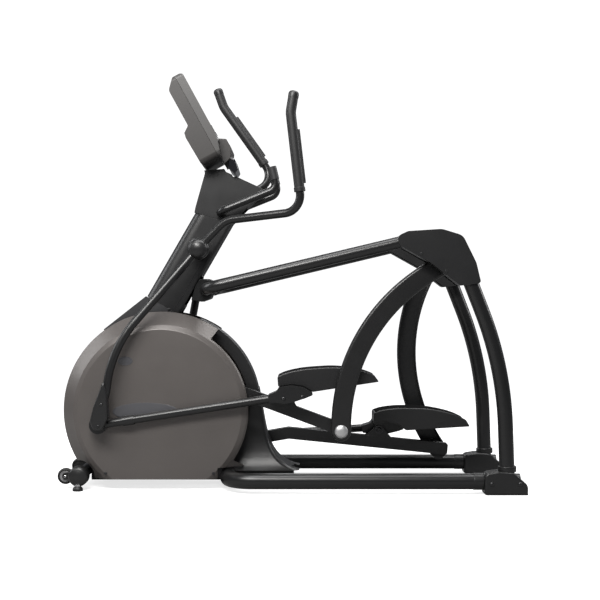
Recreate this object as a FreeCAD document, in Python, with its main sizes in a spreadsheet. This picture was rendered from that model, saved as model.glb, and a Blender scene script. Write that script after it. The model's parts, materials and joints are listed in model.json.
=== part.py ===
"""Suspension elliptical trainer: frame, drum drive, hanging arms, pedals, swinging handles and console.

Millimetres. +Z is up, the console end is toward -X, the user faces -X, the user's left is -Y.
The origin is on the floor, under the middle of the machine's bounding box.
"""
import FreeCAD
import Part
import math
import os

from FreeCAD import Placement, Rotation, Vector

doc = FreeCAD.newDocument("elliptical_trainer")
sheet = doc.addObject("Spreadsheet::Sheet", "Sizes")

# alias, value, what it is
SIZES = [
    # base frame
    ("half_track", 275, "centre plane to rail, upright and boom centre"),
    ("rail_od", 60, "base rail diameter"),
    ("tube_wall", 3, "wall of every round frame tube"),
    ("rail_height", 47, "floor to base rail centre"),
    ("rail_rear_x", 868, "rear end of the rails"),
    ("rail_turn_x", -232, "cross run where the rails turn in to the spine"),
    ("rail_turn_r", 105, "bend radius of the rail corners"),
    ("spine_width", 80, "width of the centre box tube"),
    ("spine_depth", 58, "height of the centre box tube"),
    ("spine_wall", 4, "wall of the centre box tube"),
    ("spine_rear_x", 20, "rear end of the spine"),
    ("stabilizer_x", -802, "front cross tube centre"),
    ("stabilizer_height", 54, "floor to front cross tube centre"),
    ("stabilizer_od", 46, "front cross tube diameter"),
    ("stabilizer_half", 188, "half length of the front cross tube"),
    ("cap_radius", 38.5, "domed end cap radius"),
    ("wheel_x", -860, "transport wheel centre"),
    ("wheel_height", 48, "floor to transport wheel centre"),
    ("wheel_radius", 31, "transport wheel radius"),
    ("wheel_width", 24, "transport wheel width"),
    ("wheel_y", 144, "centre plane to transport wheel"),
    ("wheel_pin_r", 5, "transport wheel axle radius"),
    ("foot_radius", 19.5, "levelling foot pad radius"),
    ("foot_height", 17, "levelling foot pad height"),
    ("foot_stud_r", 5, "levelling foot stud radius"),
    ("foot_y", 208, "centre plane to levelling foot"),
    # rear column
    ("casting_front_x", 731, "front face of the rear foot casting"),
    ("casting_rear_x", 893, "rear face of the rear foot casting"),
    ("casting_height", 88, "top of the rear foot casting"),
    ("casting_width", 84, "width of the rear foot casting"),
    ("upright_od", 57, "rear upright diameter"),
    ("upright_foot_x", 822, "rear upright at its foot"),
    ("upright_knee_x", 807, "rear upright where its bend is centred"),
    ("upright_knee_height", 477, "height of the middle of the upright's bend"),
    ("upright_bend_r", 1300, "bend radius of the rear upright"),
    ("upright_top_x", 652, "rear upright at its top end"),
    ("upright_top_height", 876, "height of the upright's top end"),
    ("boom_od", 46, "boom diameter"),
    ("boom_front_x", -301, "where the booms turn in to the mast"),
    ("boom_front_height", 772, "height of that turn"),
    ("boom_slope", 13.4, "boom slope in degrees, rear end up"),
    ("boom_rear_x", 470, "rear end of the booms"),
    ("boom_turn_r", 62, "bend radius of the boom's front corner"),
    ("yoke_half", 58, "half width of the bracket that takes both booms"),
    # suspension arm
    ("pivot_x", 579, "suspension pivot"),
    ("pivot_height", 856, "suspension pivot height"),
    ("low_clearance", 123, "floor to a hanging arm's lower pivot"),
    ("arm_sagitta", 105, "how far the arm bows forward of its chord"),
    ("arm_width", 76, "arm width in its plane"),
    ("arm_thick", 38, "arm thickness"),
    ("arm_inner", 196, "centre plane to the arm's inner face"),
    ("arm_wall", 6, "wall of the arm casting"),
    ("arm_rest", 31.1, "left arm angle at rest, forward of vertical, degrees"),
    ("pivot_pin_r", 12, "radius of the arm's two pivot pins"),
    ("running_gap", 0.05, "radial clearance of every running fit"),
    ("dome_r", 25.5, "radius of the domed cap over the lower pivot"),
    # crank and drive
    ("crank_x", -493, "crank centre"),
    ("crank_height", 300, "floor to crank centre"),
    ("crank_radius", 250, "crank throw"),
    ("crank_rest", 138, "left crank pin angle at rest, degrees"),
    ("crank_inner", 80, "centre plane to the crank arm's inner face"),
    ("crank_thick", 18, "crank arm thickness"),
    ("crank_boss_r", 34, "crank arm hub radius"),
    ("crank_tip_r", 22, "crank arm tip radius"),
    ("spindle_r", 12.5, "crank spindle radius"),
    ("pulley_r", 140, "drive pulley radius"),
    ("pulley_width", 20, "drive pulley width"),
    ("pulley_y", 25, "drive pulley middle plane"),
    ("flywheel_x", -690, "flywheel centre"),
    ("flywheel_height", 245, "floor to flywheel centre"),
    ("flywheel_r", 128, "flywheel radius"),
    ("flywheel_width", 26, "flywheel rim width"),
    ("flywheel_y", -24, "flywheel middle plane"),
    ("flywheel_pulley_r", 24, "small pulley on the flywheel shaft"),
    ("flywheel_shaft_r", 8.5, "flywheel shaft radius"),
    ("belt_thick", 4, "drive belt thickness"),
    ("belt_width", 16, "drive belt width"),
    ("plate_inner", 50, "centre plane to the drive plates"),
    ("plate_thick", 6, "drive plate thickness"),
    # pedal beam
    ("beam_inner", 110, "centre plane to the beam's inner face"),
    ("beam_width", 40, "beam width"),
    ("beam_depth", 47, "beam depth"),
    ("beam_wall", 3, "beam tube wall"),
    ("beam_rear", 609, "beam pivot to its kink"),
    ("beam_kink", 15.5, "kink of the beam, front part down, degrees"),
    ("beam_tail", 42, "beam behind its pivot"),
    ("post_forward", 244, "beam pivot to the pedal post, along the beam"),
    ("post_height", 51, "pedal pivot above the beam's centre line"),
    ("post_r", 21, "radius of the post's ears"),
    ("post_pin_r", 8, "pedal pivot pin radius"),
    # link rod and pedal
    ("rod_y", 214, "centre plane to the link rod"),
    ("rod_od", 32, "link rod diameter"),
    ("eye_r", 34, "front eye radius"),
    ("eye_thick", 22, "front eye thickness"),
    ("eye_bore_r", 14, "front eye bore radius"),
    ("sleeve_r", 19, "rod sleeve radius"),
    ("pedal_inner", 36, "centre plane to the pedal's inner side"),
    ("pedal_width", 154, "pedal width"),
    ("pedal_front", -24, "front of the pedal, from its pivot along the rod line"),
    ("pedal_length", 385, "pedal length"),
    ("pedal_sole", -2, "underside of the pedal, from the rod line"),
    ("pedal_wall", 5, "pedal wall"),
    ("pad_thick", 7, "pedal pad thickness"),
    # handles
    ("hub_x", -348, "handle pivot"),
    ("hub_height", 925, "floor to handle pivot"),
    ("hub_y", 150, "centre plane to the handle hub"),
    ("hub_r", 42, "handle hub ball radius"),
    ("hub_pin_r", 12, "handle axle radius"),
    ("handle_od", 32, "handle tube diameter"),
    ("handle_foot_y", 250, "centre plane to the handle's lower end"),
    ("handle_grip_y", 280, "centre plane to the grip"),
    ("grip_od", 39, "grip diameter"),
    # mast
    ("mast_lean", 30, "mast lean rearward, degrees"),
    ("mast_base_x", -496, "mast cover base, on its axis"),
    ("mast_base_height", 705, "height of that point"),
    ("mast_length", 440, "mast cover length before its top is trimmed"),
    ("seam_front_up", 379, "front end of the seam under the head, up along the mast"),
    ("seam_rear_up", 418, "rear end of that seam, up along the mast"),
    ("mast_width", 150, "mast cover, front to rear"),
    ("mast_half", 64, "mast cover, half width across"),
    ("mount_half", 60, "head casing, half width across"),
    ("mast_tube_depth", 80, "mast box tube, front to rear"),
    ("mast_tube_width", 60, "mast box tube, across"),
    ("cover_wall", 3, "wall of every moulded cover"),
    # drum covers
    ("drum_r", 382, "outer radius of the drum"),
    ("face_r", 314, "radius of the flat face of the disc covers"),
    ("lip_r", 332, "radius of the rolled edge round the face"),
    ("rim_y", 100, "centre plane to the disc cover's inner edge"),
    ("face_y", 188, "centre plane to the disc cover's face"),
    ("fender_half", 64, "half width of the centre covers"),
    ("fender_inner_r", 338, "inner radius of the rear fender's side walls"),
    ("drum_floor", 41, "floor to the flat underside of the drum"),
    # console
    ("console_x", -278, "lower edge of the console face"),
    ("console_height", 1363, "height of that edge"),
    ("console_lean", 28.7, "console lean forward of vertical, degrees"),
    ("console_half", 168, "half width of the console"),
    ("console_rise", 277, "console face, up from that edge"),
    ("bar_x", -268, "where the fixed handlebar crosses the head"),
    ("bar_height", 1070, "height of that crossing"),
    ("bar_reach", 223, "crossing to the bar's elbow, rearward"),
    ("bar_rise", 90, "crossing to the bar's elbow, upward"),
    ("bar_od", 31, "fixed handlebar diameter"),
    ("bar_y", 118, "centre plane to the fixed handlebar's side runs"),
]

for row, (alias, value, note) in enumerate(SIZES, start=1):
    sheet.set(f"A{row}", alias)
    sheet.set(f"B{row}", str(value))
    sheet.set(f"C{row}", note)
    sheet.setAlias(f"B{row}", alias)
doc.recompute()

LEFT = -1
RIGHT = 1
SIDES = {"left": LEFT, "right": RIGHT}
NODES = {}


def size(alias):
    return float(sheet.get(alias))


def node(label, feature):
    """Name a finished sub-part."""
    feature.Label = label
    NODES[label] = feature
    return feature


# outlines and paths

def polar(centre, radius, degrees):
    angle = math.radians(degrees)
    return (centre[0] + radius * math.cos(angle), centre[1] + radius * math.sin(angle))


def rounded_edges(corners, closed=True):
    """Straight runs and tangent arcs through corners: each is a point and a radius."""
    points = [Vector(*corner[0]) for corner in corners]
    radii = [corner[1] for corner in corners]
    count = len(points)
    starts = []
    ends = []
    middles = []
    for index in range(count):
        here = points[index]
        inner = closed or 0 < index < count - 1
        if not inner or radii[index] <= 0:
            starts.append(here)
            ends.append(here)
            middles.append(None)
            continue
        back = (points[index - 1] - here).normalize()
        ahead = (points[(index + 1) % count] - here).normalize()
        half = back.getAngle(ahead) / 2
        reach = radii[index] / math.tan(half)
        bisector = (back + ahead).normalize()
        centre = here + bisector * (radii[index] / math.sin(half))
        starts.append(here + back * reach)
        ends.append(here + ahead * reach)
        middles.append(centre - bisector * radii[index])
    edges = []
    for index in range(count):
        if middles[index] is not None:
            edges.append(Part.Arc(starts[index], middles[index], ends[index]))
        if closed or index < count - 1:
            following = starts[(index + 1) % count]
            if (following - ends[index]).Length > 1e-6:
                edges.append(Part.LineSegment(ends[index], following))
    return edges


def flat(points, radius=0.0):
    """Outline corners from (x, z) or (x, z, radius) tuples."""
    corners = []
    for point in points:
        corner_radius = point[2] if len(point) > 2 else radius
        corners.append(((point[0], point[1], 0), corner_radius))
    return corners


def offset_outline(points, distance):
    """Corners of a simple outline moved inward by distance; the outline may run either way round."""
    area = 0
    for (ax, az, *_), (bx, bz, *_) in zip(points, points[1:] + points[:1]):
        area += ax * bz - bx * az
    turn = 1 if area > 0 else -1
    moved = []
    for index, point in enumerate(points):
        here = Vector(point[0], point[1], 0)
        before = Vector(*points[index - 1][:2], 0)
        after = Vector(*points[(index + 1) % len(points)][:2], 0)
        run_in = (here - before).normalize()
        run_out = (after - here).normalize()
        normal_in = Vector(-run_in.y, run_in.x, 0) * turn
        normal_out = Vector(-run_out.y, run_out.x, 0) * turn
        bisector = (normal_in + normal_out).normalize()
        corner = here + bisector * (distance / bisector.dot(normal_in))
        radius = max(point[2] - distance, 0) if len(point) > 2 else 0
        moved.append((corner.x, corner.y, radius))
    return moved


def strip_outline(line, half, ends=0.0):
    """Outline of a bar that follows a two or three point line, half its depth each side."""
    upper = []
    lower = []
    for index, point in enumerate(line):
        here = Vector(*point, 0)
        runs = []
        if index > 0:
            runs.append((here - Vector(*line[index - 1], 0)).normalize())
        if index < len(line) - 1:
            runs.append((Vector(*line[index + 1], 0) - here).normalize())
        normals = [Vector(-run.y, run.x, 0) for run in runs]
        total = normals[0] if len(normals) == 1 else (normals[0] + normals[1]).normalize()
        reach = half / total.dot(normals[0])
        radius = ends if index in (0, len(line) - 1) else 0.0
        upper.append(((here + total * reach).x, (here + total * reach).y, radius))
        lower.append(((here - total * reach).x, (here - total * reach).y, radius))
    return upper + lower[::-1]


# features

def origin_plane(body, role):
    return [feature for feature in body.Origin.OriginFeatures if feature.Role == role][0]


def place(feature, base, angle=0.0, axis=(0, -1, 0)):
    """Place a feature: base holds three expressions or numbers."""
    feature.Placement = Placement(Vector(0, 0, 0), Rotation(Vector(*axis), angle))
    for letter, value in zip("xyz", base):
        feature.setExpression(f".Placement.Base.{letter}", str(value))


def slab(name, outline, near, depth, side=RIGHT, base=("0", "0"), angle=0.0, holes=()):
    """A PartDesign body: an XZ outline padded sideways from near, by depth, away from the centre plane.

    near and depth are expressions; outline and holes are in the body's own frame.
    """
    body = doc.addObject("PartDesign::Body", name)
    sketch = body.newObject("Sketcher::SketchObject", name + "_sketch")
    sketch.AttachmentSupport = (origin_plane(body, "XZ_Plane"), [""])
    sketch.MapMode = "FlatFace"
    for edge in rounded_edges(outline):
        sketch.addGeometry(edge, False)
    for x, z, radius in holes:
        sketch.addGeometry(Part.Circle(Vector(x, z, 0), Vector(0, 0, 1), radius), False)
    pad = body.newObject("PartDesign::Pad", name + "_pad")
    pad.Profile = sketch
    pad.setExpression("Length", str(depth))
    pad.Reversed = side > 0
    place(body, (base[0], f"{side} * ({near})", base[1]), angle)
    return body


def soften(body, radius, outer_only=False):
    """Round the long edges on a slab's flat faces."""
    doc.recompute()
    pad = body.Tip
    names = []
    levels = [vertex.Point.y for vertex in pad.Shape.Vertexes]
    outer = min(levels) if pad.Reversed is False else max(levels)
    for index, edge in enumerate(pad.Shape.Edges, start=1):
        depths = [vertex.Point.y for vertex in edge.Vertexes]
        if max(depths) - min(depths) > 1e-6:
            continue
        if outer_only and abs(depths[0] - outer) > 1e-6:
            continue
        names.append(f"Edge{index}")
    fillet = body.newObject("PartDesign::Fillet", body.Name + "_round")
    fillet.Base = (pad, names)
    fillet.Radius = radius
    body.Tip = fillet
    return body


def turned(name, profile, base, angle=-90.0, axis=(1, 0, 0)):
    """A PartDesign revolution: profile points are (radius, along), turned about the body's own Z."""
    body = doc.addObject("PartDesign::Body", name)
    sketch = body.newObject("Sketcher::SketchObject", name + "_sketch")
    sketch.AttachmentSupport = (origin_plane(body, "XZ_Plane"), [""])
    sketch.MapMode = "FlatFace"
    for edge in rounded_edges(flat(profile)):
        sketch.addGeometry(edge, False)
    spin = body.newObject("PartDesign::Revolution", name + "_turn")
    spin.Profile = sketch
    spin.ReferenceAxis = (sketch, ["V_Axis"])
    spin.Angle = 360
    place(body, base, angle, axis)
    return body


def rod_y(name, radius, near, far, x, z):
    """A plain cylinder along Y from near to far; every argument is an expression."""
    rod = doc.addObject("Part::Cylinder", name)
    rod.setExpression("Radius", str(radius))
    rod.setExpression("Height", f"({far}) - ({near})")
    place(rod, (x, near, z), -90, (1, 0, 0))
    return rod


def span(side, near, far):
    """Lower and upper Y of a span given by its distances from the centre plane."""
    if side > 0:
        return f"({near})", f"({far})"
    return f"-({far})", f"-({near})"


def block(name, lengths, base, angle=0.0, axis=(0, -1, 0)):
    box = doc.addObject("Part::Box", name)
    for key, value in zip(("Length", "Width", "Height"), lengths):
        box.setExpression(key, str(value))
    place(box, base, angle, axis)
    return box


def fuse(name, parts):
    joined = doc.addObject("Part::MultiFuse", name)
    joined.Shapes = parts
    joined.Refine = True
    return joined


def cut(name, base, tools):
    removed = doc.addObject("Part::Cut", name)
    removed.Base = base
    removed.Tool = tools[0] if len(tools) == 1 else fuse(name + "_tools", tools)
    removed.Refine = True
    return removed


def common(name, first, second):
    shared = doc.addObject("Part::MultiCommon", name)
    shared.Shapes = [first, second]
    shared.Refine = True
    return shared


def group(name, parts):
    """Separate identical solids that share one node."""
    together = doc.addObject("Part::Compound", name)
    together.Links = parts
    return together


def sweep(name, corners, radius):
    """A round bar along straight runs and tangent arcs; radius is an expression."""
    path = doc.addObject("Part::Feature", name + "_path")
    path.Shape = Part.Wire([edge.toShape() for edge in rounded_edges(corners, closed=False)])
    start = Vector(*corners[0][0])
    heading = Vector(*corners[1][0]) - start
    ring = doc.addObject("Part::Circle", name + "_ring")
    ring.setExpression("Radius", str(radius))
    ring.Placement = Placement(start, Rotation(Vector(0, 0, 1), heading))
    bar = doc.addObject("Part::Sweep", name)
    bar.Sections = [ring]
    bar.Spine = (path, [f"Edge{index + 1}" for index in range(len(path.Shape.Edges))])
    bar.Solid = True
    bar.Frenet = False
    return bar


def tube(name, corners, outer, wall="Sizes.tube_wall"):
    """A bent round tube, open at both ends."""
    outside = sweep(name + "_outside", corners, f"({outer}) / 2")
    inside = sweep(name + "_inside", corners, f"({outer}) / 2 - ({wall})")
    return cut(name, outside, [inside])


def hollow_slab(name, outline, inner, near, depth, wall, side=RIGHT, base=("0", "0"), angle=0.0):
    """A slab with a smaller slab taken out of it, closed on its outer face only."""
    skin = slab(name + "_skin", flat(outline), near, depth, side, base, angle)
    core = slab(name + "_core", flat(inner), f"({near}) - 1", f"({depth}) - ({wall}) + 1", side, base, angle)
    return cut(name, skin, [core])


# linkage at rest

def meet(first, first_reach, second, second_reach, upper):
    """Where two circles in the XZ plane meet; upper picks the higher crossing."""
    gap_x = second[0] - first[0]
    gap_z = second[1] - first[1]
    gap = math.hypot(gap_x, gap_z)
    along = (first_reach ** 2 - second_reach ** 2 + gap ** 2) / (2 * gap)
    across = math.sqrt(first_reach ** 2 - along ** 2)
    foot = (first[0] + gap_x * along / gap, first[1] + gap_z * along / gap)
    choices = [
        (foot[0] - gap_z * across / gap, foot[1] + gap_x * across / gap),
        (foot[0] + gap_z * across / gap, foot[1] - gap_x * across / gap),
    ]
    choices.sort(key=lambda point: point[1], reverse=upper)
    return choices[0]


def bearing(start, end):
    return math.degrees(math.atan2(end[1] - start[1], end[0] - start[0]))


ARM_LENGTH = size("pivot_height") - size("low_clearance")
PIVOT = (size("pivot_x"), size("pivot_height"))
CRANK = (size("crank_x"), size("crank_height"))
HUB = (size("hub_x"), size("hub_height"))

# Left handle at rest, as corners of its centre line: x, y, z, bend radius
HANDLE_LOWER = [
    (-668, 0.92, 543, 450),
    (-687, 1.0, 380, 200),
    (-723, 1.0, 252, 0),
]


def beam_points(arm_foot, crank_pin):
    """Kink and slope of the beam's rear part, from its two ends."""
    chord = math.hypot(crank_pin[0] - arm_foot[0], crank_pin[1] - arm_foot[1])
    kink = math.radians(size("beam_kink"))
    rear = size("beam_rear")
    front = math.sqrt(chord ** 2 - (rear * math.sin(kink)) ** 2) - rear * math.cos(kink)
    lead = math.degrees(math.asin(front * math.sin(kink) / chord))
    slope = 180 - bearing(arm_foot, crank_pin) + lead
    return front, slope


def post_of(arm_foot, slope):
    """Pedal pivot on its post."""
    angle = math.radians(slope)
    forward = size("post_forward")
    raise_by = size("post_height")
    x = arm_foot[0] - forward * math.cos(angle) + raise_by * math.sin(angle)
    z = arm_foot[1] + forward * math.sin(angle) + raise_by * math.cos(angle)
    return (x, z)


def solve_left():
    foot = polar(PIVOT, ARM_LENGTH, -90 - size("arm_rest"))
    pin = polar(CRANK, size("crank_radius"), size("crank_rest"))
    front, slope = beam_points(foot, pin)
    post = post_of(foot, slope)
    handle_foot = (HANDLE_LOWER[-1][0] + HUB[0] + 348, HANDLE_LOWER[-1][2] + HUB[1] - 925)
    return {"foot": foot, "pin": pin, "front": front, "slope": slope, "post": post,
            "eye": handle_foot, "arm": -size("arm_rest"), "handle": 0.0, "crank": size("crank_rest")}


def solve_right(left):
    """The right side is half a crank turn on: the same links, closed again."""
    chord = math.hypot(left["pin"][0] - left["foot"][0], left["pin"][1] - left["foot"][1])
    rod = math.hypot(left["post"][0] - left["eye"][0], left["post"][1] - left["eye"][1])
    swing = math.hypot(left["eye"][0] - HUB[0], left["eye"][1] - HUB[1])
    pin = polar(CRANK, size("crank_radius"), size("crank_rest") + 180)
    foot = meet(PIVOT, ARM_LENGTH, pin, chord, upper=False)
    front, slope = beam_points(foot, pin)
    post = post_of(foot, slope)
    eye = meet(HUB, swing, post, rod, upper=False)
    return {"foot": foot, "pin": pin, "front": front, "slope": slope, "post": post, "eye": eye,
            "arm": bearing(PIVOT, foot) + 90, "handle": bearing(HUB, eye) - bearing(HUB, left["eye"]),
            "crank": size("crank_rest") + 180}


REST = {"left": solve_left()}
REST["right"] = solve_right(REST["left"])


# base frame

def base_frame():
    rail_z = size("rail_height")
    for name, side in SIDES.items():
        track = side * size("half_track")
        corners = [
            ((size("rail_rear_x"), track, rail_z), 0),
            ((size("rail_turn_x"), track, rail_z), size("rail_turn_r")),
            ((size("rail_turn_x"), side * size("spine_width") / 2, rail_z), 0),
        ]
        node(f"base_rail_{name}", tube(f"rail_{name}", corners, "Sizes.rail_od"))

    spine_length = "Sizes.spine_rear_x - Sizes.stabilizer_x - Sizes.stabilizer_od / 2"
    spine_base = "Sizes.stabilizer_x + Sizes.stabilizer_od / 2"
    outside = block("spine_outside", (spine_length, "Sizes.spine_width", "Sizes.spine_depth"),
                    (spine_base, "-Sizes.spine_width / 2", "Sizes.rail_height - Sizes.spine_depth / 2"))
    inside = block("spine_inside",
                   (f"{spine_length} + 2", "Sizes.spine_width - 2 * Sizes.spine_wall",
                    "Sizes.spine_depth - 2 * Sizes.spine_wall"),
                   (f"{spine_base} - 1", "Sizes.spine_wall - Sizes.spine_width / 2",
                    "Sizes.rail_height - Sizes.spine_depth / 2 + Sizes.spine_wall"))
    node("base_spine", cut("spine", outside, [inside]))
    front_stabilizer()


def front_stabilizer():
    """Cross tube with two wheel forks and two foot bosses welded to it."""
    outside = rod_y("stabilizer_outside", "Sizes.stabilizer_od / 2", "-Sizes.stabilizer_half",
                    "Sizes.stabilizer_half", "Sizes.stabilizer_x", "Sizes.stabilizer_height")
    inside = rod_y("stabilizer_inside", "Sizes.stabilizer_od / 2 - Sizes.tube_wall",
                   "-Sizes.stabilizer_half - 1", "Sizes.stabilizer_half + 1",
                   "Sizes.stabilizer_x", "Sizes.stabilizer_height")
    fork_plate = 4
    side_gap = 2
    tube_x = size("stabilizer_x")
    tube_z = size("stabilizer_height")
    wheel = (size("wheel_x"), size("wheel_height"))
    fork = [
        (tube_x, tube_z + 18, 6),
        (wheel[0] - 10, wheel[1] + 12, 8),
        (wheel[0] - 10, wheel[1] - 10, 8),
        (tube_x, tube_z - 18, 6),
    ]
    added = [outside]
    bores = [inside]
    for name, side in SIDES.items():
        for place_name, gap in (("inner", f"Sizes.wheel_y - Sizes.wheel_width / 2 - {side_gap + fork_plate}"),
                                ("outer", f"Sizes.wheel_y + Sizes.wheel_width / 2 + {side_gap}")):
            added.append(slab(f"fork_{name}_{place_name}", flat(fork), gap, fork_plate, side))
        near, far = span(side, f"Sizes.wheel_y - Sizes.wheel_width / 2 - {side_gap + fork_plate}",
                         f"Sizes.wheel_y + Sizes.wheel_width / 2 + {side_gap + fork_plate}")
        added.append(rod_y(f"wheel_pin_{name}", "Sizes.wheel_pin_r", near, far,
                           "Sizes.wheel_x", "Sizes.wheel_height"))
    node("front_stabilizer", cut("stabilizer", fuse("stabilizer_solid", added), bores))

    caps = []
    for name, side in SIDES.items():
        radius = size("cap_radius")
        tube_r = size("stabilizer_od") / 2
        half = size("stabilizer_half")
        gap = size("running_gap")
        profile = [
            (0, half, 0),
            (tube_r + gap, half, 0),
            (tube_r + gap, half - 22, 0),
            (radius, half - 22, 2),
            (radius, half + 22, 16),
            (0, half + 34, 0),
        ]
        cap = turned(f"cap_{name}_dome", profile, ("Sizes.stabilizer_x", "0", "Sizes.stabilizer_height"),
                     -90 * side)
        stud = doc.addObject("Part::Cylinder", f"cap_{name}_stud_hole")
        stud.setExpression("Radius", "Sizes.foot_stud_r + Sizes.running_gap")
        stud.Height = 30
        place(stud, ("Sizes.stabilizer_x", f"{side} * Sizes.foot_y", "Sizes.foot_height - 4"))
        flatten = block(f"cap_{name}_flat", ("60", "60", "20"),
                        ("Sizes.stabilizer_x - 30", f"{side} * Sizes.foot_y - 30",
                         "Sizes.foot_height - 19.7"))
        caps.append(cut(f"cap_{name}", cap, [stud, flatten]))
    node("stabilizer_caps", group("stabilizer_caps", caps))

    for name, side in SIDES.items():
        pad_r = size("foot_radius")
        top = size("foot_height")
        stud_r = size("foot_stud_r")
        profile = [(0, 0), (pad_r, 0, 2), (pad_r, top * 0.55, 3), (pad_r * 0.7, top, 2), (stud_r, top),
                   (stud_r, top + 24), (0, top + 24)]
        foot = turned(f"foot_{name}", profile, ("Sizes.stabilizer_x", f"{side} * Sizes.foot_y", "0"), 0)
        node(f"leveling_foot_{name}", foot)

        wheel_r = size("wheel_radius")
        half = size("wheel_width") / 2
        bore = size("wheel_pin_r") + size("running_gap")
        profile = [
            (bore, -half), (12, -half), (14, -half + 4), (wheel_r - 8, -half + 4), (wheel_r - 6, -half, 0),
            (wheel_r, -half + 5, 4), (wheel_r, half - 5, 4), (wheel_r - 6, half, 0),
            (wheel_r - 8, half - 4), (14, half - 4), (12, half), (bore, half),
        ]
        roller = turned(f"wheel_{name}", profile,
                        ("Sizes.wheel_x", f"{side} * Sizes.wheel_y", "Sizes.wheel_height"))
        node(f"transport_wheel_{name}", roller)


# rear column and booms

def upright_corners(side):
    track = side * size("half_track")
    return [
        ((size("upright_foot_x"), track, 20), 0),
        ((size("upright_knee_x"), track, size("upright_knee_height")), size("upright_bend_r")),
        ((size("upright_top_x"), track, size("upright_top_height")), 0),
    ]


def rail_bar(name, side, radius, front, rear):
    """A plain bar on the rail's line, used to bore what the rail enters."""
    bar = doc.addObject("Part::Cylinder", name)
    bar.setExpression("Radius", radius)
    bar.setExpression("Height", f"({rear}) - ({front})")
    place(bar, (front, f"{side} * Sizes.half_track", "Sizes.rail_height"), 90, (0, 1, 0))
    return bar


def boom_line_height(x):
    return size("boom_front_height") + (x - size("boom_front_x")) * math.tan(math.radians(size("boom_slope")))


def rear_column():
    for name, side in SIDES.items():
        raw = tube(f"upright_{name}_raw", upright_corners(side), "Sizes.upright_od")
        cope = rail_bar(f"upright_{name}_cope", side, "Sizes.rail_od / 2 + 0.1", "700", "950")
        below = block(f"upright_{name}_below", ("200", "200", "60"),
                      ("Sizes.upright_foot_x - 100", f"{side} * Sizes.half_track - 100", "-14"))
        node(f"rear_upright_{name}", cut(f"upright_{name}", raw, [cope, below]))

        front = size("casting_front_x")
        rear = size("casting_rear_x")
        top = size("casting_height")
        outline = [
            (front, 4, 4), (front, top - 8, 20), (front + 50, top, 30), (rear - 52, top - 4, 34),
            (rear, top * 0.42, 26), (rear, 0, 3), (front + 10, 0, 3),
        ]
        shoe = slab(f"casting_{name}_shoe", flat(outline),
                    "Sizes.half_track - Sizes.casting_width / 2", "Sizes.casting_width", side)
        soften(shoe, 9)
        rail_bore = rail_bar(f"casting_{name}_rail", side, "Sizes.rail_od / 2 + 0.1",
                             "Sizes.casting_front_x - 20", "Sizes.rail_rear_x + 0.1")
        upright_bore = doc.addObject("Part::Cylinder", f"casting_{name}_upright")
        upright_bore.setExpression("Radius", "Sizes.upright_od / 2 + 1.5")
        upright_bore.Height = 100
        foot_to_knee = Vector(size("upright_knee_x") - size("upright_foot_x"), 0,
                              size("upright_knee_height") - 20)
        lean = math.degrees(math.atan2(-foot_to_knee.x, foot_to_knee.z))
        place(upright_bore, ("Sizes.upright_foot_x", f"{side} * Sizes.half_track", "20"), lean)
        node(f"rear_foot_{name}", cut(f"casting_{name}", shoe, [rail_bore, upright_bore]))

        track = side * size("half_track")
        turn = (size("boom_front_x"), track, size("boom_front_height"))
        rear_x = size("boom_rear_x")
        corners = [
            ((rear_x, track, boom_line_height(rear_x)), 0),
            (turn, size("boom_turn_r")),
            ((size("boom_front_x") - 30, side * 30, size("boom_front_height") - 6), 0),
        ]
        bent = tube(f"boom_{name}_bent", corners, "Sizes.boom_od")
        trim = block(f"boom_{name}_trim", ("200", "2 * Sizes.yoke_half", "200"),
                     ("Sizes.boom_front_x - 120", "-Sizes.yoke_half", "Sizes.boom_front_height - 100"))
        node(f"boom_{name}", cut(f"boom_{name}", bent, [trim]))
    boom_yoke()
    corner_pieces()


def boom_yoke():
    """Bracket on the mast's back that takes both booms."""
    x = size("boom_front_x")
    z = size("boom_front_height")
    outline = [(x - 62, z + 38, 8), (x - 4, z + 38, 14), (x + 6, z, 10), (x - 6, z - 40, 12),
               (x - 40, z - 52, 6), (x - 84, z - 48, 6)]
    saddle = slab("yoke_saddle", flat(outline), "-Sizes.yoke_half", "2 * Sizes.yoke_half")
    soften(saddle, 5)
    node("boom_yoke", saddle)


def corner_outline():
    """Side view of the moulded corner cover."""
    x = size("pivot_x")
    z = size("pivot_height")
    return [
        (x - 176, z + 108, 22), (x - 132, z + 128, 30), (x - 6, z + 136, 60), (x + 72, z + 112, 40),
        (x + 122, z + 10, 60), (x + 140, z - 66, 10), (x + 62, z - 76, 18), (x - 42, z + 6, 40),
        (x - 160, z + 72, 22),
    ]


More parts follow.
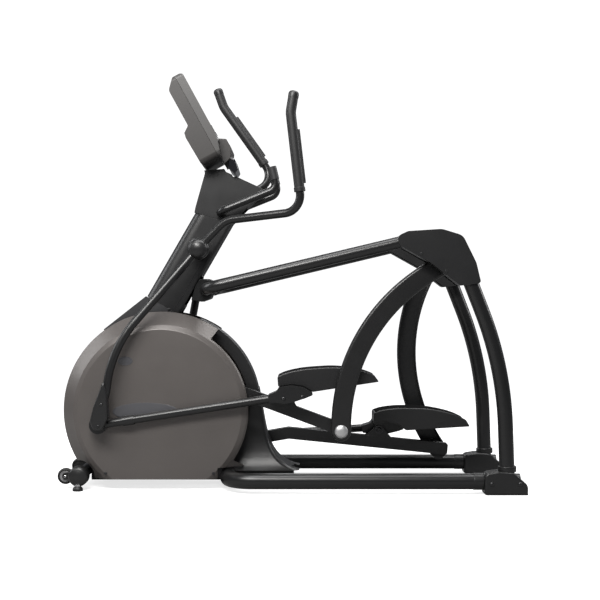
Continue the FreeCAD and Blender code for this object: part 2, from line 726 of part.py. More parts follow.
def corner_pieces():
    """Weldment, hinge pin and two moulded half shells at each top corner."""
    outline = corner_outline()
    brackets = []
    liners = []
    x = size("pivot_x")
    z = size("pivot_height")
    plate = offset_outline(outline, 9)
    for name, side in SIDES.items():
        web = slab(f"corner_web_{name}", flat(plate), "Sizes.arm_inner + Sizes.arm_thick + 6", 6, side)
        near, far = span(side, "Sizes.arm_inner - 4", "Sizes.arm_inner + Sizes.arm_thick + 8")
        pin = rod_y(f"corner_pin_{name}", "Sizes.pivot_pin_r", near, far, "Sizes.pivot_x",
                    "Sizes.pivot_height")
        brackets.append(fuse(f"corner_bracket_{name}", [web, pin]))

        inner = [(px, pz, radius) for px, pz, radius in offset_outline(outline, size("cover_wall"))]
        mouth = [(x - 166, z + 84), (x - 200, z - 120), (x + 160, z - 120), (x + 134, z - 62),
                 (x + 62, z - 64),
                 (x - 36, z + 18)]
        opening_low = slab(f"corner_mouth_{name}", flat(mouth), "Sizes.arm_inner - 8",
                           "Sizes.arm_thick + 30", side)
        depth = "Sizes.half_track + 35 - Sizes.arm_inner - Sizes.arm_thick - 12"
        outer = hollow_slab(f"corner_outer_{name}_shell", outline, inner,
                            "Sizes.arm_inner + Sizes.arm_thick + 12", depth, "Sizes.cover_wall", side)
        boom_x = size("boom_rear_x")
        boom_bore = doc.addObject("Part::Cylinder", f"corner_boom_{name}")
        boom_bore.setExpression("Radius", "Sizes.boom_od / 2 + 0.6")
        boom_bore.Height = 200
        place(boom_bore, ("Sizes.boom_rear_x + 6", f"{side} * Sizes.half_track",
                          str(boom_line_height(boom_x + 6))), 90 + size("boom_slope"))
        post_bore = sweep(f"corner_upright_{name}", upright_corners(side), "Sizes.upright_od / 2 + 0.6")
        node(f"corner_cover_{name}", cut(f"corner_cover_{name}", outer, [boom_bore, post_bore]))

        liner_inner = offset_outline(outline, size("cover_wall"))
        back = slab(f"corner_back_{name}_skin", flat(outline), "Sizes.arm_inner - 12",
                    "Sizes.arm_thick + 23.5", side)
        hollow = slab(f"corner_back_{name}_core", flat(liner_inner), "Sizes.arm_inner - 9",
                      "Sizes.arm_thick + 60", side)
        liners.append(cut(f"corner_liner_{name}", back, [hollow, opening_low]))
    node("corner_brackets", group("corner_brackets", brackets))
    node("corner_liners", group("corner_liners", liners))


# suspension arms and beams

def suspension_arm(name, side):
    """Bowed cast arm, open at its back, hung from the corner and carrying the beam."""
    pose = REST[name]
    half = size("arm_width") / 2
    bow = size("arm_sagitta")
    radius = (bow ** 2 + (ARM_LENGTH / 2) ** 2) / (2 * bow)
    middle = Vector(radius - bow, -ARM_LENGTH / 2, 0)
    spread = math.degrees(math.asin(ARM_LENGTH / 2 / radius))

    def ring(reach, degrees):
        return Vector(middle.x - reach * math.cos(math.radians(degrees)),
                      middle.y + reach * math.sin(math.radians(degrees)), 0)

    def outline(width):
        outer = radius + width
        inner = radius - width
        cap_top = ring(radius, spread) + (ring(radius, spread + 10) - ring(radius,
                                                                           spread)).normalize() * width
        cap_low = ring(radius, -spread) + (ring(radius, -spread - 10) - ring(radius,
                                                                             -spread)).normalize() * width
        return [
            Part.Arc(ring(outer, spread), ring(outer, 0), ring(outer, -spread)),
            Part.Arc(ring(outer, -spread), cap_low, ring(inner, -spread)),
            Part.Arc(ring(inner, -spread), ring(inner, 0), ring(inner, spread)),
            Part.Arc(ring(inner, spread), cap_top, ring(outer, spread)),
        ]

    def bowed(label, width, near, depth):
        body = doc.addObject("PartDesign::Body", label)
        sketch = body.newObject("Sketcher::SketchObject", label + "_sketch")
        sketch.AttachmentSupport = (origin_plane(body, "XZ_Plane"), [""])
        sketch.MapMode = "FlatFace"
        for edge in outline(width):
            sketch.addGeometry(edge, False)
        pad = body.newObject("PartDesign::Pad", label + "_pad")
        pad.Profile = sketch
        pad.setExpression("Length", depth)
        pad.Reversed = side > 0
        place(body, ("Sizes.pivot_x", f"{side} * ({near})", "Sizes.pivot_height"), pose["arm"])
        return body

    skin = bowed(f"arm_{name}_skin", half, "Sizes.arm_inner", "Sizes.arm_thick")
    soften(skin, 11, outer_only=True)
    core = bowed(f"arm_{name}_core", half - size("arm_wall"), "Sizes.arm_inner - 1",
                 "Sizes.arm_thick - Sizes.arm_wall + 1")
    near, far = span(side, "Sizes.arm_inner", "Sizes.arm_inner + Sizes.arm_thick - 3")
    top_boss = rod_y(f"arm_{name}_top_boss", "Sizes.pivot_pin_r + 14", near, far,
                     "Sizes.pivot_x", "Sizes.pivot_height")
    foot_x, foot_z = pose["foot"]
    low_boss = rod_y(f"arm_{name}_low_boss", "Sizes.pivot_pin_r + 14", near, far, foot_x, foot_z)
    body = fuse(f"arm_{name}_solid", [cut(f"arm_{name}_channel", skin, [core]), top_boss, low_boss])
    near, far = span(side, "Sizes.arm_inner - 5", "Sizes.arm_inner + Sizes.arm_thick + 5")
    top_bore = rod_y(f"arm_{name}_top_bore", "Sizes.pivot_pin_r + Sizes.running_gap", near, far,
                     "Sizes.pivot_x", "Sizes.pivot_height")
    near, far = span(side, "Sizes.arm_inner - 5", "Sizes.arm_inner + Sizes.arm_thick - 5")
    low_bore = rod_y(f"arm_{name}_low_bore", "Sizes.pivot_pin_r + Sizes.running_gap", near, far,
                     foot_x, foot_z)
    node(f"suspension_arm_{name}", cut(f"arm_{name}", body, [top_bore, low_bore]))


def pedal_beam(name, side):
    """Kinked box beam from the arm's foot to the crank, with the pedal post on top."""
    pose = REST[name]
    foot_x, foot_z = pose["foot"]
    rear = size("beam_rear")
    kink = math.radians(size("beam_kink"))
    front = pose["front"] + 24
    half = size("beam_depth") / 2
    line = [
        (size("beam_tail"), 0),
        (-rear, 0),
        (-rear - front * math.cos(kink), -front * math.sin(kink)),
    ]
    base = (foot_x, foot_z)
    angle = -pose["slope"]
    skin = slab(f"beam_{name}_skin", flat(strip_outline(line, half, 10)), "Sizes.beam_inner",
                "Sizes.beam_width", side, base, angle)
    inner_line = [(-40, 0), (-rear, 0), (-rear - (front - 60) * math.cos(kink),
                                         -(front - 60) * math.sin(kink))]
    core = slab(f"beam_{name}_core", flat(strip_outline(inner_line, half - size("beam_wall"))),
                "Sizes.beam_inner + Sizes.beam_wall", "Sizes.beam_width - 2 * Sizes.beam_wall", side, base,
                angle)
    drain = slab(f"beam_{name}_drain", flat([(-60, -half - 2), (-52, -half - 2), (-52, 0), (-60, 0)]),
                 "Sizes.beam_inner + 14", 12, side, base, angle)
    channel = cut(f"beam_{name}_channel", skin, [core, drain])
    forward = size("post_forward")
    raise_by = size("post_height")
    ear_r = size("post_r")
    ear = [(-forward - 54, half - 1, 0), (-forward - ear_r, raise_by + 4, 16),
           (-forward, raise_by + ear_r * 1.02, 19),
           (-forward + ear_r, raise_by + 4, 16), (-forward + 54, half - 1, 0)]
    tab = [(size("beam_tail") - 2, -half + 2, 0), (-34, -half + 2, 0), (4, -half - 24, 8),
           (22, -half - 20, 8)]
    parts = [channel]
    for position, gap in (("inner", "Sizes.beam_inner + 1"), ("outer",
                                                              "Sizes.beam_inner + Sizes.beam_width - 7")):
        parts.append(slab(f"beam_{name}_ear_{position}", flat(ear), gap, 6, side, base, angle))
    parts.append(slab(f"beam_{name}_tab", flat(tab), "Sizes.beam_inner + 14", 12, side, base, angle))
    near, far = span(side, "Sizes.beam_inner + 1", "Sizes.beam_inner + Sizes.beam_width - 1")
    parts.append(rod_y(f"beam_{name}_post_pin", "Sizes.post_pin_r", near, far, pose["post"][0],
                       pose["post"][1]))
    near, far = span(side, "Sizes.beam_inner", "Sizes.arm_inner - 1")
    parts.append(rod_y(f"beam_{name}_hub", "Sizes.pivot_pin_r + 10", near, far, foot_x, foot_z))
    near, far = span(side, "Sizes.beam_inner", "Sizes.arm_inner + Sizes.arm_thick - 6")
    parts.append(rod_y(f"beam_{name}_pin", "Sizes.pivot_pin_r", near, far, foot_x, foot_z))
    solid = fuse(f"beam_{name}_solid", parts)
    near, far = span(side, "Sizes.beam_inner - 1", "Sizes.beam_inner + Sizes.beam_width + 1")
    bore = rod_y(f"beam_{name}_bore", "10", near, far, pose["pin"][0], pose["pin"][1])
    node(f"pedal_beam_{name}", cut(f"beam_{name}", solid, [bore]))


# link rods and pedals

def pedal_outline():
    """Side view of the pedal, u along the rod line rearward, v up: a raised toe over an arch, a low heel."""
    front = size("pedal_front")
    sole = size("pedal_sole")
    heel = front + size("pedal_length")
    return [
        (front + 3, sole + 78, 8), (front, sole + 40, 5), (front + 52, sole + 40, 40),
        (front + 96, sole + 26, 30),
        (front + 128, sole, 12), (heel, sole, 3), (heel - 14, sole + 28, 14), (heel - 62, sole + 50, 60),
        (heel - 128, sole + 73, 80), (front + 190, sole + 80, 150), (front + 78, sole + 86, 150),
    ]


def pedal_link(name, side):
    """Rigid link: front eye, rod, bracket under the pedal, moulded pedal and its pad."""
    pose = REST[name]
    post = pose["post"]
    eye = pose["eye"]
    reach = math.hypot(eye[0] - post[0], eye[1] - post[1])
    tilt = bearing(eye, post)
    base = (post[0], post[1])
    angle = tilt
    rod_line = side * size("rod_y")

    def world(u, v, y):
        lean = math.radians(tilt)
        return (post[0] + u * math.cos(lean) - v * math.sin(lean), y,
                post[1] + u * math.sin(lean) + v * math.cos(lean))

    eye_r = size("eye_r")
    rod = sweep(f"rod_{name}_bar", [(world(-reach + eye_r - 8, 0, rod_line), 0),
                                    (world(-10, 0, rod_line), 0)],
                "Sizes.rod_od / 2")
    sleeve = sweep(f"rod_{name}_sleeve",
                   [(world(-reach + eye_r + 60, 0, rod_line), 0),
                    (world(-reach + eye_r + 104, 0, rod_line), 0)],
                   "Sizes.sleeve_r")
    near, far = span(side, "Sizes.rod_y - Sizes.eye_thick / 2", "Sizes.rod_y + Sizes.eye_thick / 2")
    ring = rod_y(f"rod_{name}_eye", "Sizes.eye_r", near, far, eye[0], eye[1])
    sole = size("pedal_sole")
    toe = size("pedal_front")
    arch = [(point[0] - 0.3, point[1] - 0.4, point[2]) for point in pedal_outline()[2:5]]
    bracket = [(-66, 15, 6), (-30, 24, 20), (toe + 4, sole + 39.6, 0)] + arch + [
        (toe + 126, sole - 9, 3), (74, -18, 30), (26, -26, 12), (-10, -27, 14), (-40, -17, 10), (-66, -15, 6)]
    wing = slab(f"rod_{name}_wing", flat(bracket), "Sizes.beam_inner + Sizes.beam_width + 6",
                "Sizes.rod_y + Sizes.rod_od / 2 - Sizes.beam_inner - Sizes.beam_width - 6", side, base, angle)
    deck = [(toe + 4, sole + 30), (toe + 4, sole + 39.6), (toe + 41, sole + 39.6), (toe + 47, sole + 30)]
    shelf = slab(f"rod_{name}_shelf", flat(deck), "Sizes.beam_inner - 30",
                 "Sizes.rod_y - Sizes.beam_inner + 20",
                 side, base, angle)
    knuckle = [(-18, -8, 8), (-14, sole + 32, 0), (14, sole + 32, 0), (18, -8, 8), (0, -19, 14)]
    lug = slab(f"rod_{name}_lug", flat(knuckle), "Sizes.beam_inner + 8.3", "Sizes.beam_width - 16.6", side,
               base, angle)
    solid = fuse(f"rod_{name}_solid", [rod, sleeve, ring, wing, shelf, lug])
    near, far = span(side, "Sizes.rod_y - Sizes.eye_thick", "Sizes.rod_y + Sizes.eye_thick")
    eye_bore = rod_y(f"rod_{name}_eye_bore", "Sizes.eye_bore_r", near, far, eye[0], eye[1])
    near, far = span(side, "Sizes.beam_inner - 2", "Sizes.beam_inner + Sizes.beam_width + 2")
    pivot_bore = rod_y(f"rod_{name}_pivot_bore", "Sizes.post_pin_r + Sizes.running_gap", near, far,
                       post[0], post[1])
    node(f"link_rod_{name}", cut(f"rod_{name}", solid, [eye_bore, pivot_bore]))

    skin = slab(f"pedal_{name}_skin", flat(pedal_outline()), "Sizes.pedal_inner", "Sizes.pedal_width",
                side, base, angle)
    soften(skin, 4)
    front = size("pedal_front")
    heel = front + size("pedal_length")
    wall = size("pedal_wall")
    floor_line = [(front + wall + 4, sole + 56), (front + 56, sole + 50), (front + 128, sole + 24),
                  (heel - 40, sole + 16)]

    def above(lift, trim=0):
        first, second, third, last = floor_line
        return [(first[0] + trim, first[1] + lift), (second[0], second[1] + lift, 40),
                (third[0], third[1] + lift, 60), (last[0] - trim, last[1] + lift)]

    tray = above(0) + [(heel + 30, sole + 20), (heel + 30, 130), (front + wall + 4, 130)]
    basin = slab(f"pedal_{name}_basin", flat(tray), "Sizes.pedal_inner + Sizes.pedal_wall",
                 "Sizes.pedal_width - 2 * Sizes.pedal_wall", side, base, angle)
    relief = [(front + 136, sole - 30), (front + 136, sole + 12, 6), (heel - 50, sole + 8, 4),
              (heel - 50, sole - 30)]
    under = slab(f"pedal_{name}_under", flat(relief), "Sizes.pedal_inner + Sizes.pedal_wall",
                 "Sizes.pedal_width - 2 * Sizes.pedal_wall", side, base, angle)
    node(f"pedal_{name}", cut(f"pedal_{name}_body", skin, [basin, under]))

    gap = 0.2
    mat = above(gap, 4) + above(size("pad_thick"), 4)[::-1]
    pad = slab(f"pad_{name}", flat(mat), "Sizes.pedal_inner + Sizes.pedal_wall + 3",
               "Sizes.pedal_width - 2 * Sizes.pedal_wall - 6", side, base, angle)
    node(f"pedal_pad_{name}", pad)


# handles

def handle_corners():
    """Left handle's centre line at rest, from its foot to its tip, hub at the origin."""
    hub_y = -size("hub_y")
    foot_y = -size("handle_foot_y")
    grip_y = -size("handle_grip_y")
    lower = []
    for x, share, z, radius in reversed(HANDLE_LOWER):
        lower.append(((x + 348, hub_y + (foot_y - hub_y) * share, z - 925), radius))
    upper = [
        ((0, hub_y, 0), 300),
        ((106, hub_y - 14, 108), 92),
        ((400, grip_y + 6, 135), 68),
        ((357, grip_y, 505), 90),
        ((367, grip_y, 566), 0),
    ]
    return lower, upper


def turned_about_hub(corners, side, swing):
    """Corners of the other handle: mirrored across the centre plane if need be, then swung."""
    spin = Rotation(Vector(0, -1, 0), swing)
    hub = Vector(HUB[0], 0, HUB[1])
    result = []
    for (x, y, z), radius in corners:
        moved = spin.multVec(Vector(x, -y * side, z)) + hub
        result.append(((moved.x, moved.y, moved.z), radius))
    return result


def moving_handle(name, side):
    pose = REST[name]
    lower, upper = handle_corners()
    corners = turned_about_hub(lower + upper, side, pose["handle"])
    outside = sweep(f"handle_{name}_outside", corners, "Sizes.handle_od / 2")
    inside = sweep(f"handle_{name}_inside", corners, "Sizes.handle_od / 2 - 2.5")
    pipe = cut(f"handle_{name}_pipe", outside, [inside])

    ball_r = size("hub_r")
    bore_r = size("hub_pin_r") + size("running_gap")
    hub_inner = size("mast_half") + 6
    hub_outer = size("hub_y") + 27
    profile = [
        (bore_r, hub_inner), (27, hub_inner, 2), (27, hub_outer - 62, 8), (ball_r, hub_outer - 46, 14),
        (ball_r, hub_outer - 12, 16), (bore_r + 8, hub_outer, 6), (bore_r, hub_outer),
    ]
    hub = turned(f"handle_{name}_hub", profile, ("Sizes.hub_x", "0", "Sizes.hub_height"), -90 * side)
    near, far = span(side, f"{hub_inner} - 5", f"{hub_outer} + 5")
    bore = rod_y(f"handle_{name}_bore", "Sizes.hub_pin_r + Sizes.running_gap", near, far,
                 "Sizes.hub_x", "Sizes.hub_height")
    clear = cut(f"handle_{name}_bored", fuse(f"handle_{name}_solid", [pipe, hub]), [bore])
    node(f"handlebar_{name}", clear)

    grip_start = Vector(*upper[2][0])
    grip_end = Vector(*upper[3][0])
    run = (grip_end - grip_start).normalize()
    grip_corners = [
        (tuple(grip_start + run * 84), 0),
        (tuple(grip_end), 90),
        (tuple(Vector(*upper[4][0]) + (Vector(*upper[4][0]) - grip_end).normalize() * 10), 0),
    ]
    grip_path = turned_about_hub(grip_corners, side, pose["handle"])
    sleeve = sweep(f"grip_{name}_sleeve", grip_path, "Sizes.grip_od / 2")
    collar_path = turned_about_hub([(tuple(grip_start + run * 74), 0), (tuple(grip_start + run * 90), 0)],
                                   side, pose["handle"])
    collar = sweep(f"grip_{name}_collar", collar_path, "Sizes.grip_od / 2 + 2")
    rear = Rotation(Vector(0, -1, 0), -90).multVec(run)
    paddle_from = grip_start + run * 104 + rear * 19
    paddle_to = grip_start + run * 306 + rear * 19
    paddle_path = turned_about_hub([(tuple(paddle_from), 0), (tuple(paddle_to), 0)], side, pose["handle"])
    paddle = sweep(f"grip_{name}_paddle", paddle_path, "8")
    core = sweep(f"grip_{name}_core", corners, "Sizes.handle_od / 2 + 0.1")
    node(f"handle_grip_{name}", cut(f"grip_{name}", fuse(f"grip_{name}_solid", [sleeve, collar, paddle]),
                                    [core]))

    # teardrop cover over the lower pivot, outside the tube
    foot = [(-347, -496, 5), (-332, -556, 60), (-329, -640, 24), (-352, -692, 26), (-384, -690, 22),
            (-398, -655, 26), (-385, -600, 80), (-362, -540, 60)]
    shell = slab(f"foot_cover_{name}_skin", flat(foot), "Sizes.handle_foot_y - 12",
                 "Sizes.handle_od / 2 + 22",
                 side, ("Sizes.hub_x", "Sizes.hub_height"), pose["handle"])
    soften(shell, 9, outer_only=True)
    groove = sweep(f"foot_cover_{name}_groove", corners, "Sizes.handle_od / 2 + 0.1")
    near, far = span(side, "Sizes.handle_foot_y - 20", "Sizes.handle_foot_y")
    boss = rod_y(f"foot_cover_{name}_boss", "Sizes.handle_od / 2 + 3", near, far, pose["eye"][0],
                 pose["eye"][1])
    node(f"handle_foot_cover_{name}", cut(f"foot_cover_{name}", shell, [groove, boss]))


# crank, pulley, flywheel and belt

def crank_set():
    crank = ("Sizes.crank_x", "Sizes.crank_height")
    end = "Sizes.crank_inner + Sizes.crank_thick - 2"
    node("crank_spindle", rod_y("crank_spindle", "Sizes.spindle_r", f"-({end})", end, *crank))

    for name, side in SIDES.items():
        throw = size("crank_radius")
        hub_r = size("crank_boss_r")
        tip_r = size("crank_tip_r")
        slant = math.asin((hub_r - tip_r) / throw)
        rise = math.cos(slant)
        lead = math.sin(slant)
        edges = [
            Part.LineSegment(Vector(hub_r * lead, hub_r * rise, 0),
                             Vector(throw + tip_r * lead, tip_r * rise, 0)),
            Part.Arc(Vector(throw + tip_r * lead, tip_r * rise, 0), Vector(throw + tip_r, 0, 0),
                     Vector(throw + tip_r * lead, -tip_r * rise, 0)),
            Part.LineSegment(Vector(throw + tip_r * lead, -tip_r * rise, 0),
                             Vector(hub_r * lead, -hub_r * rise, 0)),
            Part.Arc(Vector(hub_r * lead, -hub_r * rise, 0), Vector(-hub_r, 0, 0),
                     Vector(hub_r * lead, hub_r * rise, 0)),
        ]
        body = doc.addObject("PartDesign::Body", f"crank_{name}")
        sketch = body.newObject("Sketcher::SketchObject", f"crank_{name}_sketch")
        sketch.AttachmentSupport = (origin_plane(body, "XZ_Plane"), [""])
        sketch.MapMode = "FlatFace"
        for edge in edges:
            sketch.addGeometry(edge, False)
        sketch.addGeometry(Part.Circle(Vector(0, 0, 0), Vector(0, 0, 1), size("spindle_r")), False)
        pad = body.newObject("PartDesign::Pad", f"crank_{name}_pad")
        pad.Profile = sketch
        pad.setExpression("Length", "Sizes.crank_thick")
        pad.Reversed = side > 0
        place(body, (crank[0], f"{side} * Sizes.crank_inner", crank[1]), REST[name]["crank"])
        near, far = span(side, "Sizes.crank_inner + 2", "Sizes.beam_inner - 3")
        pin_x, pin_z = REST[name]["pin"]
        stub = rod_y(f"crank_{name}_stub", "15", near, far, pin_x, pin_z)
        node(f"crank_arm_{name}", fuse(f"crank_{name}_whole", [body, stub]))

    half = size("pulley_width") / 2
    rim = size("pulley_r")
    shaft = size("spindle_r")
    profile = [(shaft, -half - 6), (34, -half - 6, 2), (38, -4), (rim - 16, -4), (rim - 12, -half),
               (rim, -half), (rim, half), (rim - 12, half), (rim - 16, 4), (38, 4), (34, half + 6, 2),
               (shaft, half + 6)]
    node("drive_pulley", turned("drive_pulley_turned", profile,
                                ("Sizes.crank_x", "Sizes.pulley_y", "Sizes.crank_height")))
    flywheel_and_belt()


def flywheel_and_belt():
    """Flywheel with its shaft and small pulley, and the belt round both pulleys."""
    shaft = size("flywheel_shaft_r")
    rim = size("flywheel_r")
    low = size("flywheel_y") - size("flywheel_width") / 2
    high = size("flywheel_y") + size("flywheel_width") / 2
    small = size("flywheel_pulley_r")
    pulley_low = size("pulley_y") - size("pulley_width") / 2
    pulley_high = size("pulley_y") + size("pulley_width") / 2
    end = size("plate_inner") + size("plate_thick")
    profile = [
        (0, -end), (shaft, -end), (shaft, low), (rim, low, 3), (rim, high, 3), (rim - 22, high, 2),
        (rim - 26, high - 14, 4), (34, high - 14, 4), (30, high), (shaft + 6, high), (shaft + 6, pulley_low),
        (small, pulley_low, 1), (small, pulley_high, 1), (shaft, pulley_high), (shaft, end), (0, end),
    ]
    node("flywheel", turned("flywheel_turned", profile, ("Sizes.flywheel_x", "0", "Sizes.flywheel_height")))

    centre = Vector(size("crank_x"), size("crank_height"), 0)
    other = Vector(size("flywheel_x"), size("flywheel_height"), 0)
    gap = 0.5
    distance = (other - centre).Length
    heading = math.atan2(other.y - centre.y, other.x - centre.x)

    def loop(extra):
        big = size("pulley_r") + extra
        little = size("flywheel_pulley_r") + extra
        open_angle = math.acos((big - little) / distance)

        def on(origin, reach, angle):
            return Vector(origin.x + reach * math.cos(angle), origin.y + reach * math.sin(angle), 0)

        a = on(centre, big, heading + open_angle)
        b = on(other, little, heading + open_angle)
        c = on(other, little, heading - open_angle)
        d = on(centre, big, heading - open_angle)
        return [
            Part.LineSegment(a, b),
            Part.Arc(b, on(other, little, heading), c),
            Part.LineSegment(c, d),
            Part.Arc(d, on(centre, big, heading + math.pi), a),
        ]

    body = doc.addObject("PartDesign::Body", "belt")
    sketch = body.newObject("Sketcher::SketchObject", "belt_sketch")
    sketch.AttachmentSupport = (origin_plane(body, "XZ_Plane"), [""])
    sketch.MapMode = "FlatFace"
    for edge in loop(gap + size("belt_thick")) + loop(gap):
        sketch.addGeometry(edge, False)
    pad = body.newObject("PartDesign::Pad", "belt_pad")
    pad.Profile = sketch
    pad.setExpression("Length", "Sizes.belt_width")
    pad.Reversed = True
    place(body, ("0", "Sizes.pulley_y - Sizes.belt_width / 2", "0"))
    node("drive_belt", body)

    # two plates on the spine carry the crank spindle and the flywheel shaft
    crank_x, crank_z = CRANK
    wheel_x = size("flywheel_x")
    wheel_z = size("flywheel_height")
    floor = size("rail_height") + size("spine_depth") / 2
    outline = [
        (crank_x + 120, floor), (crank_x + 58, crank_z + 20, 40), (crank_x, crank_z + 62, 56),
        (wheel_x - 30, wheel_z + 46, 40), (wheel_x - 60, floor),
    ]
    holes = [(crank_x, crank_z, size("spindle_r") + size("running_gap")),
             (wheel_x, wheel_z, size("flywheel_shaft_r") + size("running_gap"))]
    plates = []
    for name, side in SIDES.items():
        plates.append(slab(f"drive_plate_{name}", flat(outline), "Sizes.plate_inner", "Sizes.plate_thick",
                           side, holes=holes))
    # a flange under each plate meets the spine
    ledges = []
    for name, side in SIDES.items():
        near, far = ("Sizes.spine_width / 2 - 12", "Sizes.plate_inner + 2")
        foot = slab(f"drive_ledge_{name}", flat([(crank_x + 118, floor), (crank_x + 118, floor + 6),
                                                 (wheel_x - 58, floor + 6), (wheel_x - 58, floor)]),
                    near, f"({far}) - ({near})", side)
        ledges.append(fuse(f"drive_side_{name}", [plates[0 if side < 0 else 1], foot]))
    node("drive_frame", group("drive_frame", ledges))


# mast, drum covers and fairings

def mast_point(across, up):
    """A point in the mast's own frame, in X and Z."""
    lean = math.radians(size("mast_lean"))
    return (size("mast_base_x") + across * math.cos(lean) + up * math.sin(lean),
            size("mast_base_height") - across * math.sin(lean) + up * math.cos(lean))


def mast_section(name, outline, start, length):
    """A section outline, front to rear and across, padded along the mast."""
    body = doc.addObject("PartDesign::Body", name)
    sketch = body.newObject("Sketcher::SketchObject", name + "_sketch")
    sketch.AttachmentSupport = (origin_plane(body, "XY_Plane"), [""])
    sketch.MapMode = "FlatFace"
    for edge in rounded_edges(flat(outline)):
        sketch.addGeometry(edge, False)
    pad = body.newObject("PartDesign::Pad", name + "_pad")
    pad.Profile = sketch
    pad.setExpression("Length", str(length))
    x, z = mast_point(0, start)
    place(body, (x, "0", z), size("mast_lean"), (0, 1, 0))
    return body


def head_seam():
    """Front and rear ends of the joint between the mast covers and the head."""
    front = mast_point(-size("mast_width") / 2, size("seam_front_up"))
    rear = mast_point(size("mast_width") / 2, size("seam_rear_up"))
    return front, rear


def mast():
    half_depth = size("mast_width") / 2
    half = size("mast_half")
    wall = size("cover_wall")
    seam = half_depth - 26
    seam_front, seam_rear = head_seam()
    seam_slope = bearing(seam_front, seam_rear)
    top_plane = block("mast_top_plane", ("400", "300", "300"),
                      (polar(seam_front, -120, seam_slope)[0], "-150",
                       polar(seam_front, -120, seam_slope)[1]),
                      seam_slope)

    front = [(-half_depth, -half, 46), (-half_depth, half, 46), (seam, half, 0), (seam, -half, 0)]
    inner = [(-half_depth + wall, -half + wall, 43), (-half_depth + wall, half - wall, 43),
             (seam + 5, half - wall, 0), (seam + 5, -half + wall, 0)]
    skin = mast_section("mast_front_skin", front, 0.2, "Sizes.mast_length")
    core = mast_section("mast_front_core", inner, -1, "Sizes.mast_length + 4")
    axle_gap = rod_y("mast_front_axle_gap", "Sizes.hub_pin_r + 8", "-Sizes.mast_half - 5",
                     "Sizes.mast_half + 5",
                     "Sizes.hub_x", "Sizes.hub_height")
    node("mast_front_cover", cut("mast_front", skin, [core, top_plane, axle_gap]))

    rear = [(seam + 0.3, -half, 0), (seam + 0.3, half, 0), (half_depth, half, 12), (half_depth, -half, 12)]
    rear_inner = [(seam - 5, -half + wall, 0), (seam - 5, half - wall, 0),
                  (half_depth - wall, half - wall, 9),
                  (half_depth - wall, -half + wall, 9)]
    rear_skin = mast_section("mast_rear_skin", rear, 0.2, "Sizes.mast_length")
    rear_core = mast_section("mast_rear_core", rear_inner, -1, "Sizes.mast_length + 4")
    notch_z = size("boom_front_height")
    notch = block("mast_rear_notch", ("140", "118", "116"),
                  ("Sizes.boom_front_x - 110", "-59", str(notch_z - 68)))
    node("mast_rear_cover", cut("mast_rear", rear_skin, [rear_core, top_plane, notch]))

    depth = size("mast_tube_depth") / 2
    width = size("mast_tube_width") / 2
    box = [(-depth, -width, 8), (-depth, width, 8), (depth, width, 8), (depth, -width, 8)]
    box_inner = [(-depth + 4, -width + 4, 4), (-depth + 4, width - 4, 4), (depth - 4, width - 4, 4),
                 (depth - 4, -width + 4, 4)]
    reach_down = (size("mast_base_height") - size("crank_height") - 90) / math.cos(math.radians(size("mast_lean")))
    total = reach_down + size("mast_length") + 60
    tube_skin = mast_section("mast_tube_skin", box, -reach_down, total)
    tube_core = mast_section("mast_tube_core", box_inner, -reach_down - 1, total + 2)
    drive_clear = rod_y("mast_tube_drive_clear", "Sizes.pulley_r + 16", "-60", "60",
                        "Sizes.crank_x", "Sizes.crank_height")
    axle_hole = rod_y("mast_tube_axle_hole", "Sizes.hub_pin_r + 0.05", "-60", "60",
                      "Sizes.hub_x", "Sizes.hub_height")
    bar_hole = rod_y("mast_tube_bar_hole", "Sizes.bar_od / 2 + 0.1", "-60", "60", "Sizes.bar_x",
                     "Sizes.bar_height")
    node("mast_tube", cut("mast_post", tube_skin, [tube_core, drive_clear, axle_hole, bar_hole]))

    axle_end = "Sizes.hub_y + 22"
    node("handle_axle", rod_y("handle_axle", "Sizes.hub_pin_r", f"-({axle_end})", axle_end,
                              "Sizes.hub_x", "Sizes.hub_height"))


